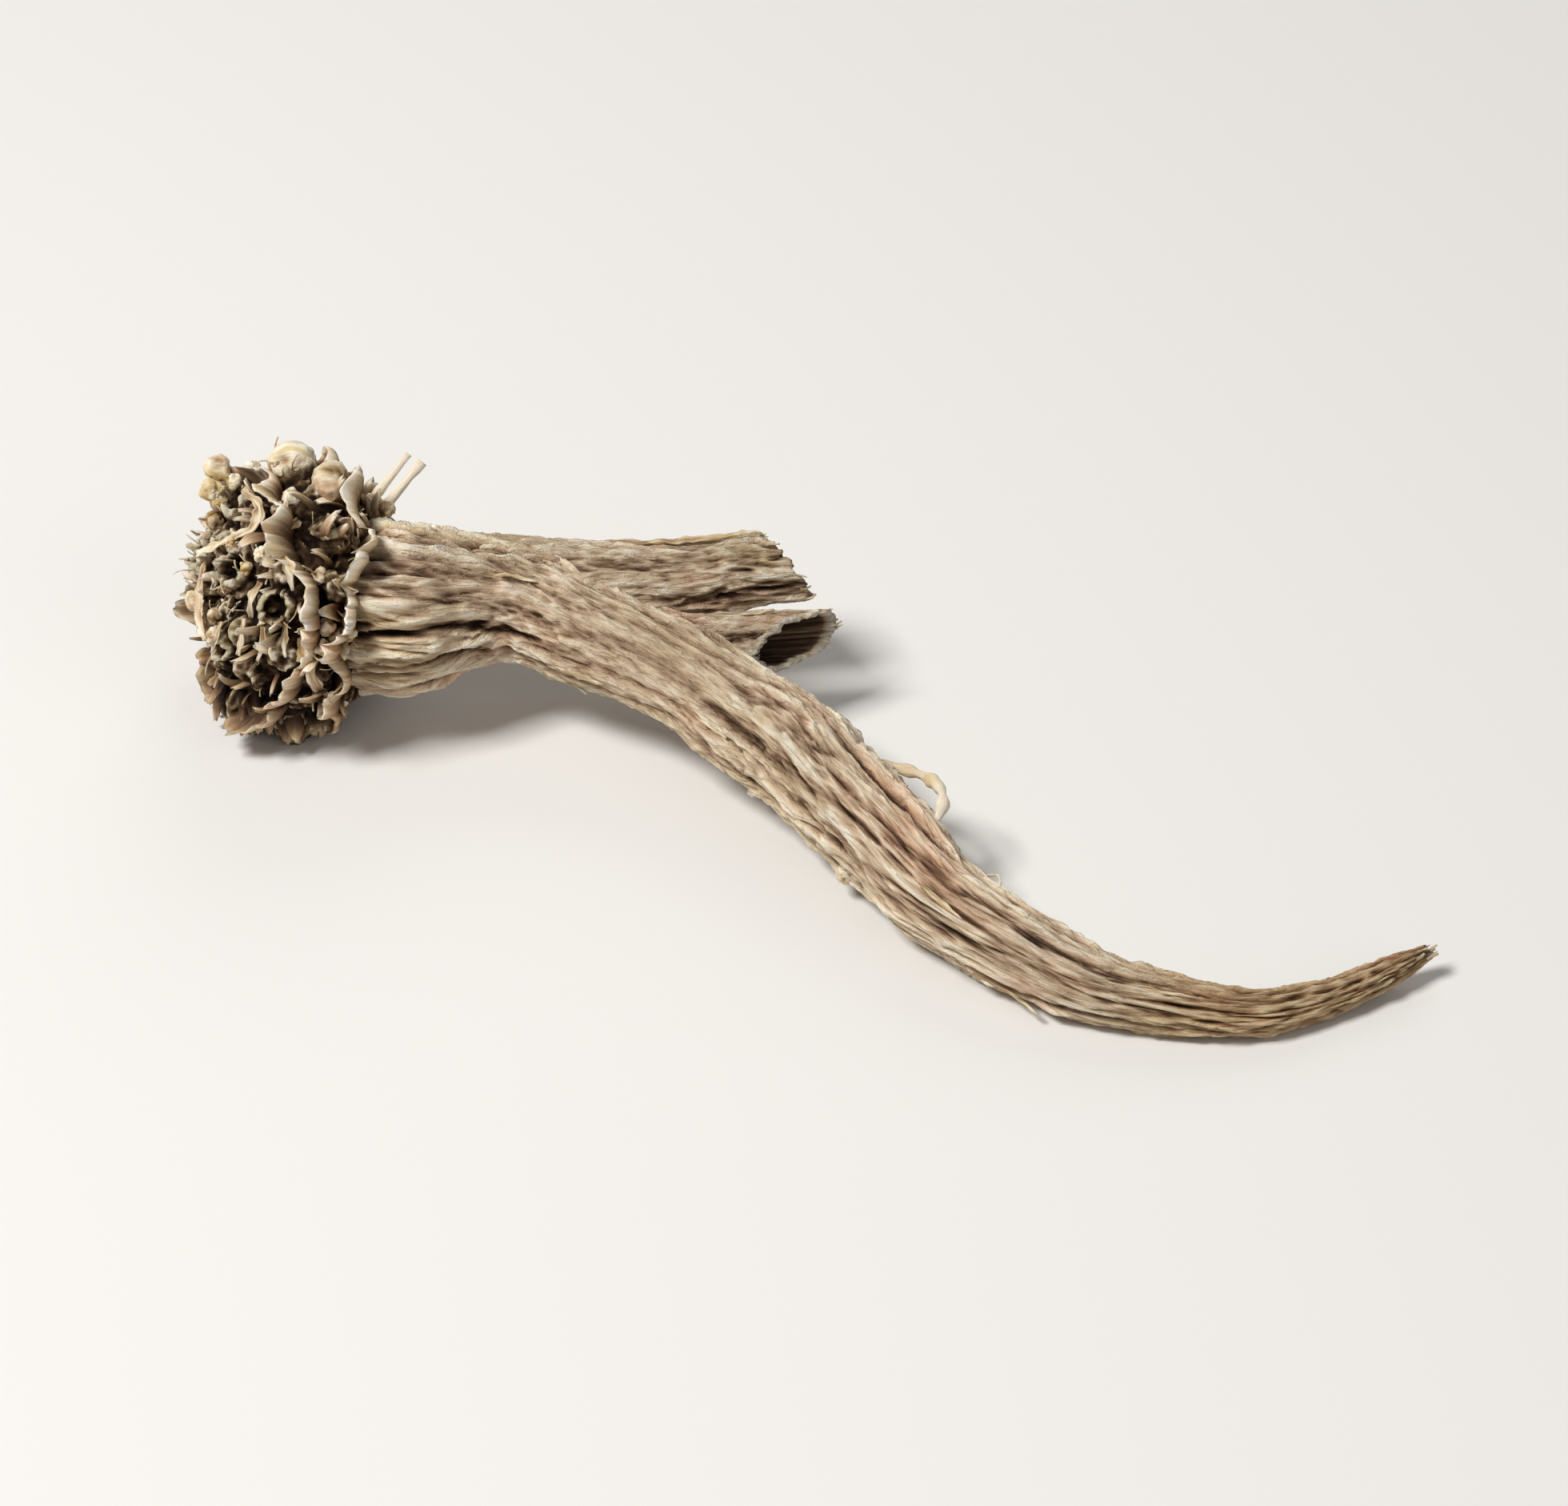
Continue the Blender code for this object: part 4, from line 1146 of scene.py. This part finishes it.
# Dried pith: spongy and matt, cream to straw yellow, brown in its creases, with pores 0.4 mm
# wide
pith = make_dry_tissue("dried_pith", [
    (0.0, "#3a2413"), (1.0, "#fcf5e5"), (0.28, "#765a42"), (0.48, "#b39876"),
    (0.66, "#d9c6a5"), (0.84, "#efe2c8")
], (2.4, 2.4, 2.4), 0.5, 0.7, 0.86)
marked_piece("nubs_and_ribbons", trimmings, marks, pith)

# Loose fibres.
# Stiff fibres of the root's own tissue, which stand wherever it was torn: round the crown, at
# the broken ends, and in loops along the bark.

# From and to which angle from the crown's axis, count, and least and greatest length
FIBRE_BELTS = [(15.0, 65.0, 70, 0.6, 1.5), (72.0, 112.0, 80, 0.8, 2.0)]
FIBRE_RADII = (0.05, 0.1)
FIBRE_SWAY = 0.8
FIBRE_STEPS = 9
FIBRE_ROOT = 0.35
LOWEST = 0.15
LOOP_STEPS = 40

# Place along the taproot, upper (1) or lower (-1) edge as seen, and radius of each small nub
EDGE_NUBS = [(40.0, -1.0, 0.7), (51.0, -1.0, 0.7), (10.9, 1.0, 0.75)]

# Where each loop leaves the taproot and meets it again, how far it stands off, and its radius
FILAMENT_LOOPS = [(47.1, 52.8, 2.5, 0.38), (60.0, 62.0, 0.9, 0.1)]


def wandering(base, heading, length, bend):
    """Points of a fibre that starts one way and bends as it goes."""
    turn = Vector([stray.uniform(-1, 1) for _ in range(3)])
    line = [base.copy()]
    heading = heading.normalized()
    for _ in range(FIBRE_STEPS):
        heading = (heading + turn * bend / FIBRE_STEPS).normalized()
        line.append(line[-1] + heading * (length / FIBRE_STEPS))
    for spot in line:
        spot.z = min(SHRED_CEILING, max(LOWEST, spot.z))
    return line


def edge_spot(along, side):
    """A point of the taproot's bark on its upper edge (1) or lower edge (-1) as seen."""
    k = int(np.searchsorted(taproot.along, along))
    towards = np.cross(VIEW_BACK, taproot.line[k + 1] - taproot.line[k - 1])
    towards *= side / np.linalg.norm(towards)
    turned = (taproot.points[k] - taproot.line[k]) @ towards
    return Vector(taproot.points[k][int(np.argmax(turned))]), Vector(towards)


fibres = bmesh.new()
marks = []
for *span, shortest, longest in FIBRE_BELTS:
    for _, way in belt(*span, 0.4, stray):
        length = stray.uniform(shortest, longest)
        radius = stray.uniform(*FIBRE_RADII)
        sway = way.cross(CROWN_AXIS) * stray.uniform(-FIBRE_SWAY, FIBRE_SWAY)
        heading = way + sway + CROWN_AXIS * stray.uniform(-0.5, 0.6)
        if way.z > -0.5:
            base = CROWN_CENTRE + way * (crown_top(way) - FIBRE_ROOT)
            line = wandering(base, heading, length + 0.2, 1.6)
            strand(fibres, marks, line, radius, 6, (0.45, 0.85))
for along, side, radius in EDGE_NUBS:
    spot, outward = edge_spot(along, side)
    nub(fibres, marks, spot - outward * radius * 0.6, radius, 0.8)
for first, last, stand, radius in FILAMENT_LOOPS:
    begin, outward = edge_spot(first, 1.0)
    end = edge_spot(last, 1.0)[0]
    line = []
    for k in range(LOOP_STEPS + 1):
        share = k / LOOP_STEPS
        arch = sin(pi * share)
        lift = arch * stand * (0.5 + 0.9 * share) - 0.3 - 1.5 * radius
        sway = UP * (0.4 * arch * sin(5.0 * share + first) - 0.2)
        reach = 0.5 - 0.62 * cos(pi * share)
        line.append(begin.lerp(end, reach) + outward * lift + sway)
    strand(fibres, marks, line, radius, 12, (0.5, 0.95), -0.1)
for skin, count in ((branch, 26), (torn, 12), (taproot, 8)):
    for _ in range(count):
        base = Vector(skin.points[-1, stray.randrange(skin.points.shape[1])])
        heading = Vector(skin.ahead) - (base - Vector(skin.line[-1])).normalized() * 0.08
        length = stray.uniform(0.2, 0.7)
        line = wandering(base - heading * 0.5, heading, length + 0.5, 0.5)
        strand(fibres, marks, line, stray.uniform(0.05, 0.13), 6, (0.5, 0.75))

# Root fibre: stringy and smooth, straw to cream, browner where it leaves the root, in threads
# of 0.25 mm
root_fibre = make_dry_tissue("root_fibre", [
    (0.0, "#4a321c"), (1.0, "#fff9ea"), (0.4, "#a88b66"), (0.7, "#e2cfac")
], (4.0, 0.8, 4.0), 0.3, 0.5, 0.6)
marked_piece("loose_fibres", fibres, marks, root_fibre)

# Peeling bark.
# Thin slivers of cork that lifted along the grain as the root dried, each still joined to the
# bark at one end.

# Root, from and to where along it, turn round it, width and lift of each sliver
PEELS = [
    (branch, 15.0, 27.6, 6.15, 1.0, 0.6), (taproot, 13.0, 18.0, 0.3, 0.6, 0.35),
    (taproot, 33.0, 38.0, 1.2, 0.5, 0.4), (taproot, 46.0, 51.0, 5.6, 0.6, 0.5),
    (taproot, 58.0, 62.5, 0.9, 0.5, 0.5), (taproot, 64.0, 69.5, 2.0, 0.8, 0.9),
    (taproot, 55.0, 60.0, 1.9, 0.5, 0.35), (taproot, 22.0, 26.0, 1.6, 0.5, 0.4),
    (taproot, 18.0, 24.0, 2.3, 0.6, 0.4), (taproot, 74.0, 79.0, 0.4, 0.4, 0.4),
    (torn, 9.0, 14.0, 5.8, 0.4, 0.3),
]
PEEL_FOLD = 0.2

slivers = bmesh.new()
marks = []
for skin, first, last, turn, width, lift in PEELS:
    begin, end = np.searchsorted(skin.along, (first, last))
    end = min(end, len(skin.along) - 1)
    column = int(turn / tau * skin.points.shape[1])
    rows = []
    for k in range(begin, end + 1, 2):
        share = (k - begin) / (end - begin)
        place = Vector((share * 5.0, turn, first))
        spot = Vector(skin.points[k, column])
        outward = (spot - Vector(skin.line[k])).normalized()
        rise = lift * share ** 1.5 - 0.06 + 0.12 * noise(place)
        size = width * min(1.0, 0.25 + 2.0 * share) * (1.0 - 0.96 * share ** 2.4)
        rows.append((spot + outward * rise, outward, size * (1.0 + 0.3 * noise(place * 1.3))))
    ribbon(slivers, marks, *zip(*rows), PEEL_FOLD, (0.42, 0.82))

# Lifted cork: the bark's thin outer skin seen from its clean side, golden straw and fibrous,
# with fibres 0.2 mm wide
lifted_cork = make_dry_tissue("lifted_cork", [
    (0.0, "#3b2614"), (1.0, "#faeed4"), (0.34, "#8d6f50"), (0.54, "#bfa47e"),
    (0.74, "#dfcba6")
], (5.0, 0.6, 2.0), 0.3, 0.4, 0.8)
marked_piece("peeling_bark", slivers, marks, lifted_cork)

# Floor, light and camera.
# A pale floor under soft studio light. The camera looks down as steeply as the photograph's
# view meets this root, which lies there on a slope that tips it towards the camera.
FLOOR_REACH = 3.0

# Name, place and width in metres, and watts of each lamp
LIGHTS = [
    ("key", (-0.38, -0.16, 0.62), 0.22, 5.2),
    ("fill", (0.6, -0.5, 0.45), 0.6, 0.9),
    ("back", (0.1, 0.7, 0.5), 0.5, 1.2),
]
SKY_STRENGTH = 0.18
CAMERA_ELEVATION = radians(38.0)
CAMERA_LENS = 120.0
CAMERA_DISTANCE = 0.375
CAMERA_TARGET = Vector((0.0, 0.0, 0.006))


def placed(name, data, place, back):
    """An object at a place in the scene, which looks away from the direction back."""
    made = shown(name, data)
    made.location = place
    made.rotation_euler = (-back).to_track_quat("-Z", "Y").to_euler()
    return made


floor_bm = bmesh.new()
bmesh.ops.create_grid(floor_bm, x_segments=1, y_segments=1, size=FLOOR_REACH)
floor_mesh = bpy.data.meshes.new("floor")
floor_bm.to_mesh(floor_mesh)
floor_bm.free()
shown("floor", floor_mesh)
paper = bpy.data.materials.new("matt_white_paper")
paper.use_nodes = True
shader = paper.node_tree.nodes["Principled BSDF"]
shader.inputs["Base Color"].default_value = srgb("#e9e6e1")
shader.inputs["Roughness"].default_value = 0.9
floor_mesh.materials.append(paper)

for name, place, width, watts in LIGHTS:
    lamp = bpy.data.lights.new(name, "AREA")
    lamp.size = width
    lamp.energy = watts
    placed(name, lamp, place, Vector(place))

sky = bpy.data.worlds.new("studio")
sky.use_nodes = True
light = sky.node_tree.nodes["Background"]
light.inputs["Color"].default_value = (1.0, 1.0, 1.0, 1.0)
light.inputs["Strength"].default_value = SKY_STRENGTH
bpy.context.scene.world = sky
bpy.context.scene.view_settings.view_transform = "Standard"

back = Vector((0.0, -cos(CAMERA_ELEVATION), sin(CAMERA_ELEVATION)))
lens = bpy.data.cameras.new("camera")
lens.lens = CAMERA_LENS
camera = placed("camera", lens, CAMERA_TARGET + back * CAMERA_DISTANCE, back)
bpy.context.scene.camera = camera
